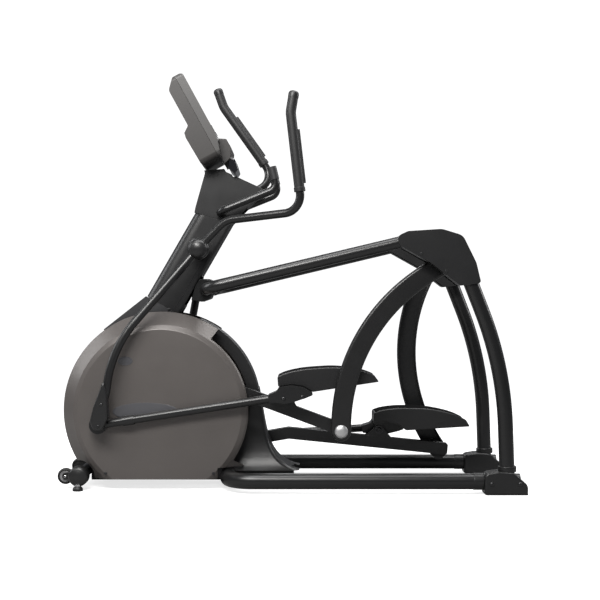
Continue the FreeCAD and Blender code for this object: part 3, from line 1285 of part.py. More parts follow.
def disc_cover(name, side):
    """Dished cover: flat face, rolled lip and bevelled rim, cut away behind for the beam."""
    wall = size("cover_wall")
    rim_r = size("drum_r")
    face_r = size("face_r")
    lip_r = size("lip_r")
    rim_y = size("rim_y")
    face_y = size("face_y")
    crown = 5
    profile = [
        (0, face_y + crown), (face_r * 0.62, face_y + crown - 1.6, 400), (face_r, face_y - 1, 6),
        (lip_r, face_y - 12, 8), (rim_r, rim_y + 14, 10), (rim_r, rim_y),
        (rim_r - wall, rim_y), (rim_r - wall, rim_y + 12, 8), (lip_r - 3, face_y - 15, 6),
        (face_r - 2, face_y - 1 - wall, 4), (face_r * 0.62, face_y + crown - 1.6 - wall, 400),
        (0, face_y + crown - wall),
    ]
    dish = turned(f"disc_{name}_dish", profile, ("Sizes.crank_x", "0", "Sizes.crank_height"), -90 * side)
    x, z = CRANK
    floor_cut = block(f"disc_{name}_floor", ("1000", "260", "200"),
                      ("Sizes.crank_x - 500", f"{side} * 150 - 130", "Sizes.drum_floor - 200"))
    front_notch = rod_y(f"disc_{name}_front_notch", "53", *span(side, "90", "215"),
                        "Sizes.stabilizer_x", "Sizes.stabilizer_height")
    rear_notch = block(f"disc_{name}_rear_notch", ("260", "260", "70"),
                       ("Sizes.rail_turn_x - Sizes.rail_od / 2 - 10", f"{side} * 150 - 130",
                        "Sizes.rail_height + Sizes.rail_od / 2 + 8 - 70"))
    upper_angle = 55
    lower_angle = -34
    reach = rim_r + 40
    inner = face_r + 8
    sector = [
        polar(CRANK, inner, lower_angle), polar(CRANK, reach * 1.05, lower_angle),
        (x + reach * 1.1, z), polar(CRANK, reach * 1.12, upper_angle), polar(CRANK, inner, upper_angle),
    ]
    mid_angles = (30, 0)
    sector += [polar(CRANK, inner, angle) for angle in mid_angles]
    slot = slab(f"disc_{name}_slot", flat(sector), "Sizes.rim_y - 5", "Sizes.face_y - 20 - Sizes.rim_y + 5",
                side)
    node(f"disc_cover_{name}", cut(f"disc_{name}", dish, [floor_cut, front_notch, rear_notch, slot]))


def arc_band(name, start, end, outer, inner, half):
    """Part of a ring round the crank centre, from start to end degrees."""
    mid = (start + end) / 2
    edges = [
        Part.Arc(Vector(*polar(CRANK, outer, start), 0), Vector(*polar(CRANK, outer, mid), 0),
                 Vector(*polar(CRANK, outer, end), 0)),
        Part.LineSegment(Vector(*polar(CRANK, outer, end), 0), Vector(*polar(CRANK, inner, end), 0)),
        Part.Arc(Vector(*polar(CRANK, inner, end), 0), Vector(*polar(CRANK, inner, mid), 0),
                 Vector(*polar(CRANK, inner, start), 0)),
        Part.LineSegment(Vector(*polar(CRANK, inner, start), 0), Vector(*polar(CRANK, outer, start), 0)),
    ]
    body = doc.addObject("PartDesign::Body", name)
    sketch = body.newObject("Sketcher::SketchObject", name + "_sketch")
    sketch.AttachmentSupport = (origin_plane(body, "XZ_Plane"), [""])
    sketch.MapMode = "FlatFace"
    for edge in edges:
        sketch.addGeometry(edge, False)
    pad = body.newObject("PartDesign::Pad", name + "_pad")
    pad.Profile = sketch
    pad.setExpression("Length", f"2 * ({half})")
    pad.Reversed = True
    place(body, ("0", f"-({half})", "0"))
    return body


def loft(name, sections):
    """A loft through rounded rectangles, each x_front, x_rear, z, half width, corner radius."""
    rings = []
    for index, (front, rear, z, half, radius) in enumerate(sections):
        ring = doc.addObject("Part::Feature", f"{name}_section_{index}")
        corners = [((front, -half, z), radius), ((rear, -half, z), radius), ((rear, half, z), radius),
                   ((front, half, z), radius)]
        ring.Shape = Part.Wire([edge.toShape() for edge in rounded_edges(corners)])
        rings.append(ring)
    body = doc.addObject("Part::Loft", name)
    body.Sections = rings
    body.Solid = True
    body.Ruled = False
    return body


def centre_covers():
    """Front band, rear fender with its flared foot, and the fairing at the mast's base."""
    wall = size("cover_wall")
    rim = size("drum_r")
    band = arc_band("front_band", 112, 215, rim, rim - wall, "Sizes.rim_y - 0.3")
    low = size("drum_floor")
    trim = block("front_band_floor", ("1000", "400", "200"), ("Sizes.crank_x - 500", "-200",
                                                              "Sizes.drum_floor - 200"))
    notch = rod_y("front_band_notch", "53", "-200", "200", "Sizes.stabilizer_x", "Sizes.stabilizer_height")
    node("front_shroud", cut("front_shroud_trimmed", band, [trim, notch]))

    fender = cut("fender_band", arc_band("fender_skin", 9, 68, rim - 2, size("fender_inner_r"),
                                         "Sizes.fender_half"),
                 [arc_band("fender_core", 6, 71, rim - 2 - wall, size("fender_inner_r") - 5,
                           "Sizes.fender_half - Sizes.cover_wall")])
    half = size("fender_half")
    top = CRANK[1] + (rim - 2) * math.sin(math.radians(9))
    foot_rear = 42
    sections = [
        (-163, CRANK[0] + (rim - 2) * math.cos(math.radians(9)), top + 20, half, 14),
        (-166, -104, 300, half, 14),
        (-192, -84, 200, half + 4, 18),
        (-222, -48, 120, half + 20, 22),
        (-246, foot_rear, 64, half + 52, 24),
    ]
    inner_sections = []
    for front, rear, z, half_width, radius in sections:
        inner_sections.append((front + wall, rear - wall, z, half_width - wall, radius - wall))
    first = inner_sections[0]
    last = inner_sections[-1]
    inner_sections[0] = (first[0], first[1], first[2] + 1, first[3], first[4])
    inner_sections[-1] = (last[0], last[1], last[2] - 1, last[3], last[4])
    skin = loft("stanchion_skin", sections)
    core = loft("stanchion_core", inner_sections)
    shell = cut("stanchion_shell", skin, [core])
    gap = block("stanchion_spine_gap", ("400", "Sizes.spine_width + 2", "40"),
                ("-300",
                 "-Sizes.spine_width / 2 - 1", "Sizes.rail_height + Sizes.spine_depth / 2 + 0.5 - 40"))
    cross = rod_y("stanchion_rail_gap", "Sizes.rail_od / 2 + 1", "-300", "300",
                  "Sizes.rail_turn_x", "Sizes.rail_height")
    node("rear_fender", cut("rear_fender_trimmed", fuse("rear_fender_solid", [fender, shell]), [gap, cross]))

    front_top = mast_point(-size("mast_width") / 2, 0)
    rear_top = mast_point(size("mast_width") / 2, 0)
    base = [
        front_top + (0,), rear_top + (0,), polar(CRANK, rim - 2, 68.5) + (0,),
        polar(CRANK, rim - 44, 68.5) + (0,),
        polar(CRANK, rim - 90, 95) + (0,), polar(CRANK, rim - 44, 126) + (0,),
        polar(CRANK, rim + 8, 127) + (0,),
    ]
    skin = slab("fairing_skin", flat(base), "-Sizes.mast_half", "2 * Sizes.mast_half")
    up = (math.sin(math.radians(size("mast_lean"))), math.cos(math.radians(size("mast_lean"))))
    inside = [(x, z) for x, z, radius in offset_outline(base, wall)]
    for index in (0, 1):
        inside[index] = (inside[index][0] + 10 * up[0], inside[index][1] + 10 * up[1])
    for index in (3, 4, 5):
        inside[index] = (inside[index][0], inside[index][1] - 40)
    core = slab("fairing_core", flat(inside), "-Sizes.mast_half + Sizes.cover_wall",
                "2 * Sizes.mast_half - 2 * Sizes.cover_wall")
    drum = rod_y("fairing_drum", "Sizes.drum_r + 0.3", "-Sizes.mast_half - 5", "Sizes.mast_half + 5",
                 "Sizes.crank_x", "Sizes.crank_height")
    node("mast_base_fairing", cut("fairing", skin, [core, drum]))


# console

def console_slab(name, outline, half):
    """A side outline in the console's own frame: out from the face, and up along it."""
    return slab(name, flat(outline), f"-({half})", f"2 * ({half})", RIGHT,
                ("Sizes.console_x", "Sizes.console_height"), size("console_lean"))


def front_plate(name, corners, near, depth):
    """An outline across and up the console face, padded out of it."""
    body = doc.addObject("PartDesign::Body", name)
    sketch = body.newObject("Sketcher::SketchObject", name + "_sketch")
    sketch.AttachmentSupport = (origin_plane(body, "YZ_Plane"), [""])
    sketch.MapMode = "FlatFace"
    for edge in rounded_edges(flat(corners)):
        sketch.addGeometry(edge, False)
    pad = body.newObject("PartDesign::Pad", name + "_pad")
    pad.Profile = sketch
    pad.setExpression("Length", str(depth))
    lean = math.radians(size("console_lean"))
    place(body, (f"Sizes.console_x + {near * math.cos(lean)}", "0",
                 f"Sizes.console_height + {near * math.sin(lean)}"), size("console_lean"))
    return body


def console():
    half = size("console_half")
    rise = size("console_rise")
    wall = size("cover_wall")
    face = [(-half, -78, 24), (half, -78, 24), (half, rise, 18), (-half, rise, 18)]
    back_side = [(-32, -80), (-105, -82, 20), (-109, 44, 8), (-105, 64, 6), (-79, 82, 10), (-79, 236, 24),
                 (-41, rise, 14), (-32, rise)]
    back_inner = offset_outline([point if len(point) > 2 else point + (0,) for point in back_side], wall)
    back_inner[0] = (-20, -77, 0)
    back_inner[-1] = (-20, rise - 3, 0)
    skin = common("console_back_skin", console_slab("console_back_side", back_side, "Sizes.console_half"),
                  front_plate("console_back_face", face, -120, 150))
    face_inner = [(-half + wall, -75, 21), (half - wall, -75, 21), (half - wall, rise - 3, 15),
                  (-half + wall, rise - 3, 15)]
    core = common("console_back_core", console_slab("console_core_side", back_inner, "Sizes.console_half"),
                  front_plate("console_core_face", face_inner, -120, 150))
    node("console_shell", cut("console_back", skin, [core]))

    bezel_side = [(-31.7, -80), (-31.7, rise), (-16, rise + 1, 6), (0, rise - 10, 10), (0, 0, 10),
                  (-23, -77, 6)]
    bezel = common("console_bezel_skin", console_slab("console_bezel_side", bezel_side, "Sizes.console_half"),
                   front_plate("console_bezel_face", face, -120, 150))
    window = [(-118, 96, 6), (118, 96, 6), (118, rise - 34, 6), (-118, rise - 34, 6)]
    window_cut = front_plate("console_window_cut", window, -9, 40)
    hollow = [(-half + wall, -70, 18), (half - wall, -70, 18), (half - wall, rise - 8, 12),
              (-half + wall, rise - 8, 12)]
    hollow_cut = front_plate("console_hollow_cut", hollow, -40, 24)
    node("console_bezel", cut("console_bezel", bezel, [window_cut, hollow_cut]))

    glass = [(-117.5, 96.5, 6), (117.5, 96.5, 6), (117.5, rise - 34.5, 6), (-117.5, rise - 34.5, 6)]
    node("console_screen", front_plate("console_screen", glass, -8.8, 6))

    tray_side = [(1, -16, 3), (25, -22, 6), (15, -96, 8), (17, -148, 8), (4, -163, 8), (-18, -156, 6),
                 (-21, -112, 4), (-21.5, -82, 1)]
    tray = console_slab("tray_side", tray_side, "112")
    soften(tray, 5)
    scoop_side = [(6, 10), (18, 10), (10, -80, 6), (10, -140, 5), (2, -152, 5), (-12, -148, 5),
                  (-14, -114, 4),
                  (-2, -80, 6)]
    scoop = console_slab("tray_scoop", scoop_side, "104")
    node("console_tray", cut("tray", tray, [scoop]))

    (seam_x, seam_z), (back_x, back_z) = head_seam()
    mount_side = [(seam_x, seam_z + 0.2), (back_x, back_z + 0.2), (back_x + 114, back_z + 118, 6),
                  (back_x + 120, back_z + 135, 5), (back_x - 30, back_z + 204, 16),
                  (back_x - 38, back_z + 262),
                  (back_x - 116, back_z + 226), (back_x - 108, back_z + 196, 10),
                  (back_x - 146, back_z + 60, 12)]
    mount = slab("mount_skin", flat(mount_side), "-Sizes.mount_half", "2 * Sizes.mount_half")
    mount_inner = offset_outline([point if len(point) > 2 else point + (0,) for point in mount_side], 4)
    mount_inner[0] = (mount_inner[0][0], mount_inner[0][1] - 12, 0)
    mount_inner[1] = (mount_inner[1][0], mount_inner[1][1] - 12, 0)
    mount_core = slab("mount_core", flat(mount_inner), "4 - Sizes.mount_half", "2 * Sizes.mount_half - 8")
    bar_gap = rod_y("mount_bar_gap", "Sizes.bar_od / 2 + 0.1", "-70", "70", "Sizes.bar_x",
                     "Sizes.bar_height")
    console_gap = console_slab("mount_console_gap", [(60, -160), (-112, -83), (-112, 60), (60, 60)],
                               "Sizes.console_half")
    tray_gap = console_slab("mount_tray_gap", [(40, -4), (40, -172), (2, -168), (-21, -162), (-23, -80),
                                               (-24, -60)],
                            "112.5")
    node("console_mount", cut("mount", mount, [mount_core, bar_gap, console_gap, tray_gap]))

    fixed_bar()


def fixed_bar():
    """One bent tube through the head of the mast, with an upturned grip at each end."""
    side_y = size("bar_y")
    cross = (size("bar_x"), size("bar_height"))
    elbow = (cross[0] + size("bar_reach"), cross[1] + size("bar_rise"))
    tip = (elbow[0] - 20, elbow[1] + 78)
    corners = [
        ((tip[0], -side_y, tip[1]), 0), ((elbow[0], -side_y, elbow[1]), 34),
        ((cross[0], -side_y, cross[1]), 36), ((cross[0], side_y, cross[1]), 36),
        ((elbow[0], side_y, elbow[1]), 34), ((tip[0], side_y, tip[1]), 0),
    ]
    node("fixed_handlebar", tube("fixed_bar", corners, "Sizes.bar_od", "2.5"))
    grips = []
    for name, side in SIDES.items():
        y = side * side_y
        run = Vector(tip[0] - elbow[0], 0, tip[1] - elbow[1]).normalize()
        low = Vector(elbow[0], y, elbow[1]) + run * 36
        high = Vector(tip[0], y, tip[1]) + run * 6
        sleeve = sweep(f"bar_grip_{name}_sleeve", [(tuple(low), 0), (tuple(high), 0)], "Sizes.bar_od / 2 + 3")
        bore = sweep(f"bar_grip_{name}_bore", [(tuple(low - run * 2), 0), (tuple(high - run * 5.8), 0)],
                     "Sizes.bar_od / 2 + 0.1")
        grips.append(cut(f"bar_grip_{name}", sleeve, [bore]))
    node("bar_grips", group("bar_grips", grips))


# screws

def screws():
    """Pan heads that hold the covers: on both disc faces and both corner covers."""
    heads = []
    spots = []
    x, z = CRANK
    for name, side in SIDES.items():
        for index, offset in enumerate((-206, 206)):
            spots.append((f"disc_{name}_{index}", side, "Sizes.face_y + 0.2", x + offset, z - 236))
        for index, (dx, dz) in enumerate(((-84, 44), (10, -22))):
            spots.append((f"corner_{name}_{index}", side, "Sizes.half_track + 35.2",
                          size("pivot_x") + dx, size("pivot_height") + dz))
    for label, side, level, px, pz in spots:
        near, far = span(side, level, f"{level} + 2.5")
        heads.append(rod_y(f"screw_{label}", "6", near, far, px, pz))
    node("cover_screws", group("cover_screws", heads))


# build

base_frame()
rear_column()
for side_name, side_sign in SIDES.items():
    suspension_arm(side_name, side_sign)
    pedal_beam(side_name, side_sign)
    pedal_link(side_name, side_sign)
    moving_handle(side_name, side_sign)
    disc_cover(side_name, side_sign)
crank_set()
mast()
centre_covers()
console()
screws()
doc.recompute()

problems = []
for feature in doc.Objects:
    if any(state in ("Invalid", "Error") for state in feature.State):
        problems.append(f"{feature.Label}: {feature.State}")
for label, feature in NODES.items():
    shape = feature.Shape
    if shape.isNull() or not shape.isValid():
        problems.append(f"{label}: shape is null or not valid")
    elif not shape.Solids:
        problems.append(f"{label}: no solid")
if problems:
    raise RuntimeError("\n".join(problems))

os.makedirs("parts", exist_ok=True)
for label, feature in NODES.items():
    feature.Shape.exportStep(f"parts/{label}.step")
for name, pose in REST.items():
    print(name, {key: value if isinstance(value, float) else tuple(round(part, 2) for part in value)
                 for key, value in pose.items()})
print(len(NODES), "nodes")
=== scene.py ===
import json
import math

import bpy
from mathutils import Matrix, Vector
from mathutils.bvhtree import BVHTree


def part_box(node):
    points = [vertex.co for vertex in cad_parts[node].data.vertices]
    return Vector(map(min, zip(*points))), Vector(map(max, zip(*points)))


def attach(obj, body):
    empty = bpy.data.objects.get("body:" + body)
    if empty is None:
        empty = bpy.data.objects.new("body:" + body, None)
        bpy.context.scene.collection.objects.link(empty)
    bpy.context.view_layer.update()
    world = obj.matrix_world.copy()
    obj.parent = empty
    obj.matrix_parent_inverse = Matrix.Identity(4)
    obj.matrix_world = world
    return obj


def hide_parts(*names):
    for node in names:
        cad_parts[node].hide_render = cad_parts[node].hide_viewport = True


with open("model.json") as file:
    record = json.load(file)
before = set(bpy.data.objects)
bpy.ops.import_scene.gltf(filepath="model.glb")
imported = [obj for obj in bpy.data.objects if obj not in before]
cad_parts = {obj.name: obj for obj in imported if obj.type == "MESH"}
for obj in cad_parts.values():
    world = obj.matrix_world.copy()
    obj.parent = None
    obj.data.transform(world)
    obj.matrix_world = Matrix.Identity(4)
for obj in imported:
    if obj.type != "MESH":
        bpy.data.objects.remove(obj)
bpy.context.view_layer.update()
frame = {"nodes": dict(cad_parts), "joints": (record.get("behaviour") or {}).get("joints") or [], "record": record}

record = frame["record"]
bodyOf = {node: body for body, nodes in record["behaviour"]["bodies"].items() for node in nodes}
slotOf = {part["node"]: part["material_slot"] for part in record["subparts"]}
pivotOf = {joint["name"]: Vector(joint["pos_m"]) for joint in frame["joints"]}
sides = {"left": -1, "right": 1}


# camera, lights and floor

cameraSetup = {"distance": 4.725, "across": 0.044, "height": 0.727, "lens": 71.2, "sensor": 36,
               "reach": 100}

lightSetup = [
    # name, place, size, power, colour
    ("keySoftbox", (-1.2, -2.9, 3.0), (3.2, 0.6), 150, (1.0, 0.99, 0.97)),
    ("topSoftbox", (0.3, -0.5, 3.9), (4.2, 1.3), 120, (1.0, 1.0, 1.0)),
    ("rimSoftboxRear", (3.4, 0.9, 2.4), (1.0, 2.0), 38, (1.0, 1.0, 1.0)),
    ("rimSoftboxFront", (-3.6, 0.5, 2.2), (1.0, 2.0), 34, (0.98, 0.99, 1.0)),
    ("discSoftbox", (-0.7, -1.9, 2.2), (0.8, 0.35), 16, (1.0, 0.99, 0.97)),
    ("backSoftbox", (0.0, 3.4, 2.6), (3.6, 1.4), 46, (1.0, 1.0, 1.0)),
]
lightTarget = (0, 0, 0.7)
floorWidth = 60


def addCamera():
    setup = cameraSetup
    data = bpy.data.cameras.new("productCamera")
    data.lens = setup["lens"]
    data.sensor_width = setup["sensor"]
    data.clip_end = setup["reach"]
    camera = bpy.data.objects.new("productCamera", data)
    camera.location = (setup["across"], -setup["distance"], setup["height"])
    camera.rotation_euler = (math.radians(90), 0, 0)
    bpy.context.scene.collection.objects.link(camera)
    bpy.context.scene.camera = camera


def addLights():
    target = Vector(lightTarget)
    for name, place, extent, power, colour in lightSetup:
        data = bpy.data.lights.new(name, "AREA")
        data.shape = "RECTANGLE"
        data.size, data.size_y = extent
        data.energy = power
        data.color = colour
        light = bpy.data.objects.new(name, data)
        light.location = place
        light.rotation_euler = (target - Vector(place)).to_track_quat("-Z", "Y").to_euler()
        bpy.context.scene.collection.objects.link(light)


def addWorld():
    # white to the camera, and a faint cool fill for every other ray
    world = bpy.data.worlds.new("studioWorld")
    bpy.context.scene.world = world
    world.use_nodes = True
    tree = world.node_tree
    tree.nodes.clear()
    output = tree.nodes.new("ShaderNodeOutputWorld")
    seen = tree.nodes.new("ShaderNodeBackground")
    seen.inputs["Color"].default_value = (1, 1, 1, 1)
    seen.inputs["Strength"].default_value = 1.1
    fill = tree.nodes.new("ShaderNodeBackground")
    fill.inputs["Color"].default_value = (0.93, 0.95, 1.0, 1)
    fill.inputs["Strength"].default_value = 0.17
    path = tree.nodes.new("ShaderNodeLightPath")
    mix = tree.nodes.new("ShaderNodeMixShader")
    tree.links.new(path.outputs["Is Camera Ray"], mix.inputs[0])
    tree.links.new(fill.outputs[0], mix.inputs[1])
    tree.links.new(seen.outputs[0], mix.inputs[2])
    tree.links.new(mix.outputs[0], output.inputs["Surface"])


def addFloor():
    # pale paper that glows a little more with distance; rays other than the camera's meet plain grey
    deselectAll()
    bpy.ops.mesh.primitive_plane_add(size=floorWidth, location=(0, 0, 0))
    floor = bpy.context.object
    floor.name = "floor"
    material = bpy.data.materials.new("floorPaper")
    material.use_nodes = True
    tree = material.node_tree
    shader = tree.nodes["Principled BSDF"]
    shader.inputs["Base Color"].default_value = (0.6, 0.6, 0.6, 1)
    shader.inputs["Roughness"].default_value = 0.9
    shader.inputs["Specular IOR Level"].default_value = 0.1
    glow = tree.nodes.new("ShaderNodeEmission")
    both = tree.nodes.new("ShaderNodeAddShader")
    bounce = tree.nodes.new("ShaderNodeBsdfDiffuse")
    bounce.inputs["Color"].default_value = (0.3, 0.3, 0.3, 1)
    place = tree.nodes.new("ShaderNodeTexCoord")
    reach = tree.nodes.new("ShaderNodeVectorMath")
    reach.operation = "LENGTH"
    fade = tree.nodes.new("ShaderNodeMapRange")
    fade.inputs["From Min"].default_value = 1.2
    fade.inputs["From Max"].default_value = 7.0
    fade.inputs["To Min"].default_value = 0.74
    fade.inputs["To Max"].default_value = 0.98
    tree.links.new(place.outputs["Object"], reach.inputs[0])
    tree.links.new(reach.outputs["Value"], fade.inputs["Value"])
    tree.links.new(fade.outputs["Result"], glow.inputs["Strength"])
    path = tree.nodes.new("ShaderNodeLightPath")
    seen = tree.nodes.new("ShaderNodeMixShader")
    tree.links.new(shader.outputs[0], both.inputs[0])
    tree.links.new(glow.outputs[0], both.inputs[1])
    tree.links.new(path.outputs["Is Camera Ray"], seen.inputs[0])
    tree.links.new(bounce.outputs[0], seen.inputs[1])
    tree.links.new(both.outputs[0], seen.inputs[2])
    tree.links.new(seen.outputs[0], tree.nodes["Material Output"].inputs["Surface"])
    floor.data.materials.append(material)


# modelling helpers

def deselectAll():
    if bpy.context.object and bpy.context.object.mode != "OBJECT":
        bpy.ops.object.mode_set(mode="OBJECT")
    bpy.ops.object.select_all(action="DESELECT")


def takeUp(piece):
    deselectAll()
    piece.select_set(True)
    bpy.context.view_layer.objects.active = piece


def editAll(piece):
    takeUp(piece)
    bpy.ops.object.mode_set(mode="EDIT")
    bpy.ops.mesh.select_all(action="SELECT")


def applyModifier(piece, kind, **settings):
    takeUp(piece)
    modifier = piece.modifiers.new(kind.lower(), kind)
    for key, value in settings.items():
        setattr(modifier, key, value)
    bpy.ops.object.modifier_apply(modifier=modifier.name)


def smooth(piece, degrees=38):
    takeUp(piece)
    bpy.ops.object.shade_smooth_by_angle(angle=math.radians(degrees))
    modifier = piece.modifiers.new("evenNormals", "WEIGHTED_NORMAL")
    modifier.keep_sharp = True


def settle(piece, name=None):
    # place and turn go into the mesh, and its faces point outwards
    takeUp(piece)
    bpy.ops.object.transform_apply(location=True, rotation=True, scale=True)
    editAll(piece)
    bpy.ops.mesh.remove_doubles(threshold=0.00002)
    bpy.ops.mesh.normals_make_consistent(inside=False)
    bpy.ops.object.mode_set(mode="OBJECT")
    if name:
        piece.name = name
        piece.data.name = name


def joinPieces(pieces, name):
    deselectAll()
    for piece in pieces:
        piece.select_set(True)
    bpy.context.view_layer.objects.active = pieces[0]
    if len(pieces) > 1:
        bpy.ops.object.join()
    joined = bpy.context.object
    joined.name = name
    joined.data.name = name
    return joined


def finishPiece(piece, finish, body, replaces=()):
    piece.data.materials.clear()
    piece.data.materials.append(finishes[finish])
    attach(piece, body)
    if replaces:
        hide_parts(*replaces)


def turnedPiece(name, centre, axis, steps, vertices=48):
    # a ring grown step by step along an axis: each step is how far along, and its radius
    axis = Vector(axis).normalized()
    first = steps[0]
    deselectAll()
    bpy.ops.mesh.primitive_circle_add(vertices=vertices, radius=first[1], fill_type="NGON",
                                      location=Vector(centre) + axis * first[0],
                                      rotation=axis.to_track_quat("Z", "Y").to_euler())
    piece = bpy.context.object
    takeUp(piece)
    bpy.ops.object.transform_apply(location=True, rotation=True, scale=True)
    editAll(piece)
    for (before, oldRadius), (along, radius) in zip(steps, steps[1:]):
        shift = axis * (along - before)
        bpy.ops.mesh.extrude_region_move(TRANSFORM_OT_translate={"value": shift})
        share = radius / oldRadius
        middle = Vector(centre) + axis * along
        bpy.ops.transform.resize(value=(share, share, share), center_override=middle)
    bpy.ops.object.mode_set(mode="OBJECT")
    settle(piece, name)
    return piece


def roundedPlate(name, centre, size, radius, turn, edge):
    # a flat plate with round corners: size is across, up and thick in its own frame
    deselectAll()
    bpy.ops.mesh.primitive_cube_add(size=1, location=centre, rotation=turn)
    piece = bpy.context.object
    piece.scale = size
    bpy.ops.object.transform_apply(location=False, rotation=False, scale=True)
    bpy.ops.object.mode_set(mode="EDIT")
    bpy.ops.mesh.select_all(action="DESELECT")
    bpy.ops.object.mode_set(mode="OBJECT")
    for corner in piece.data.edges:
        ends = [piece.data.vertices[index].co for index in corner.vertices]
        corner.select = abs(ends[0].z - ends[1].z) > size[2] / 2
    bpy.ops.object.mode_set(mode="EDIT")
    bpy.ops.mesh.select_mode(type="EDGE")
    bpy.ops.mesh.bevel(offset=radius, segments=5, affect="EDGES")
    bpy.ops.mesh.select_mode(type="VERT")
    bpy.ops.object.mode_set(mode="OBJECT")
    settle(piece, name)
    applyModifier(piece, "BEVEL", width=edge, segments=2, limit_method="ANGLE",
                  angle_limit=math.radians(50))
    return piece


fineShape = {"merge": 0.00001, "flatAngle": 0.6, "edgeAngle": 42, "segments": 2}


def refined(name, edge, reshape=None):
    # a merged copy of a CAD node with softened edges and smooth curved faces
    mesh = frame["nodes"][name].data.copy()
    piece = bpy.data.objects.new(name + "_fine", mesh)
    bpy.context.scene.collection.objects.link(piece)
    editAll(piece)
    bpy.ops.mesh.remove_doubles(threshold=fineShape["merge"])
    bpy.ops.mesh.dissolve_limited(angle_limit=math.radians(fineShape["flatAngle"]))
    bpy.ops.object.mode_set(mode="OBJECT")
    if reshape:
        reshape(piece)
    applyModifier(piece, "BEVEL", width=edge, segments=fineShape["segments"], limit_method="ANGLE",
                  angle_limit=math.radians(fineShape["edgeAngle"]), use_clamp_overlap=True)
    smooth(piece)
    return piece


# shader groups

def startGroup(name, inputs, outputs):
    group = bpy.data.node_groups.new(name, "ShaderNodeTree")
    for label, kind, value in inputs:
        socket = group.interface.new_socket(label, in_out="INPUT", socket_type=kind)
        if value is not None:
            socket.default_value = value
    for label, kind in outputs:
        group.interface.new_socket(label, in_out="OUTPUT", socket_type=kind)
    start = group.nodes.new("NodeGroupInput")
    end = group.nodes.new("NodeGroupOutput")
    return group, start, end


def addNode(tree, kind, **settings):
    made = tree.nodes.new(kind)
    for key, value in settings.items():
        setattr(made, key, value)
    return made


def buildGrain():
    # fine moulded or sprayed texture: a normal, and a roughness that wanders a little
    group, start, end = startGroup(
        "fineGrain",
        [("Scale", "NodeSocketFloat", 900.0), ("Height", "NodeSocketFloat", 0.3),
         ("Roughness", "NodeSocketFloat", 0.5), ("Wander", "NodeSocketFloat", 0.08)],
        [("Normal", "NodeSocketVector"), ("Roughness", "NodeSocketFloat")])
    place = addNode(group, "ShaderNodeTexCoord")
    fine = addNode(group, "ShaderNodeTexNoise")
    fine.inputs["Detail"].default_value = 3
    bump = addNode(group, "ShaderNodeBump")
    bump.inputs["Distance"].default_value = 0.0002
    broad = addNode(group, "ShaderNodeTexNoise")
    broad.inputs["Scale"].default_value = 14
    broad.inputs["Detail"].default_value = 5
    centred = addNode(group, "ShaderNodeMath", operation="SUBTRACT")
    centred.inputs[1].default_value = 0.5
    wander = addNode(group, "ShaderNodeMath", operation="MULTIPLY_ADD")
    link = group.links.new
    link(place.outputs["Object"], fine.inputs["Vector"])
    link(place.outputs["Object"], broad.inputs["Vector"])
    link(start.outputs["Scale"], fine.inputs["Scale"])
    link(fine.outputs["Fac"], bump.inputs["Height"])
    link(start.outputs["Height"], bump.inputs["Strength"])
    link(broad.outputs["Fac"], centred.inputs[0])
    link(centred.outputs[0], wander.inputs[0])
    link(start.outputs["Wander"], wander.inputs[1])
    link(start.outputs["Roughness"], wander.inputs[2])
    link(bump.outputs["Normal"], end.inputs["Normal"])
    link(wander.outputs[0], end.inputs["Roughness"])
    return group


def buildWear():
    # a mask along edges, where a rounded normal leaves the true one, broken up by noise
    group, start, end = startGroup(
        "edgeWear",
        [("Amount", "NodeSocketFloat", 0.3)],
        [("Mask", "NodeSocketFloat")])
    shape = addNode(group, "ShaderNodeNewGeometry")
    place = addNode(group, "ShaderNodeTexCoord")
    ramp = addNode(group, "ShaderNodeMapRange")
    ramp.inputs["From Min"].default_value = 0.995
    ramp.inputs["From Max"].default_value = 0.9
    rounded = addNode(group, "ShaderNodeBevel", samples=4)
    rounded.inputs["Radius"].default_value = 0.002
    turned = addNode(group, "ShaderNodeVectorMath", operation="DOT_PRODUCT")
    patches = addNode(group, "ShaderNodeTexNoise")
    patches.inputs["Scale"].default_value = 45
    patches.inputs["Detail"].default_value = 6
    broken = addNode(group, "ShaderNodeMapRange")
    broken.inputs["From Min"].default_value = 0.4
    broken.inputs["From Max"].default_value = 0.65
    both = addNode(group, "ShaderNodeMath", operation="MULTIPLY")
    scaled = addNode(group, "ShaderNodeMath", operation="MULTIPLY", use_clamp=True)
    link = group.links.new
    link(shape.outputs["Normal"], turned.inputs[0])
    link(rounded.outputs["Normal"], turned.inputs[1])
    link(turned.outputs["Value"], ramp.inputs["Value"])
    link(place.outputs["Object"], patches.inputs["Vector"])
    link(patches.outputs["Fac"], broken.inputs["Value"])
    link(ramp.outputs["Result"], both.inputs[0])
    link(broken.outputs["Result"], both.inputs[1])
    link(both.outputs[0], scaled.inputs[0])
    link(start.outputs["Amount"], scaled.inputs[1])
    link(scaled.outputs[0], end.inputs["Mask"])
    return group


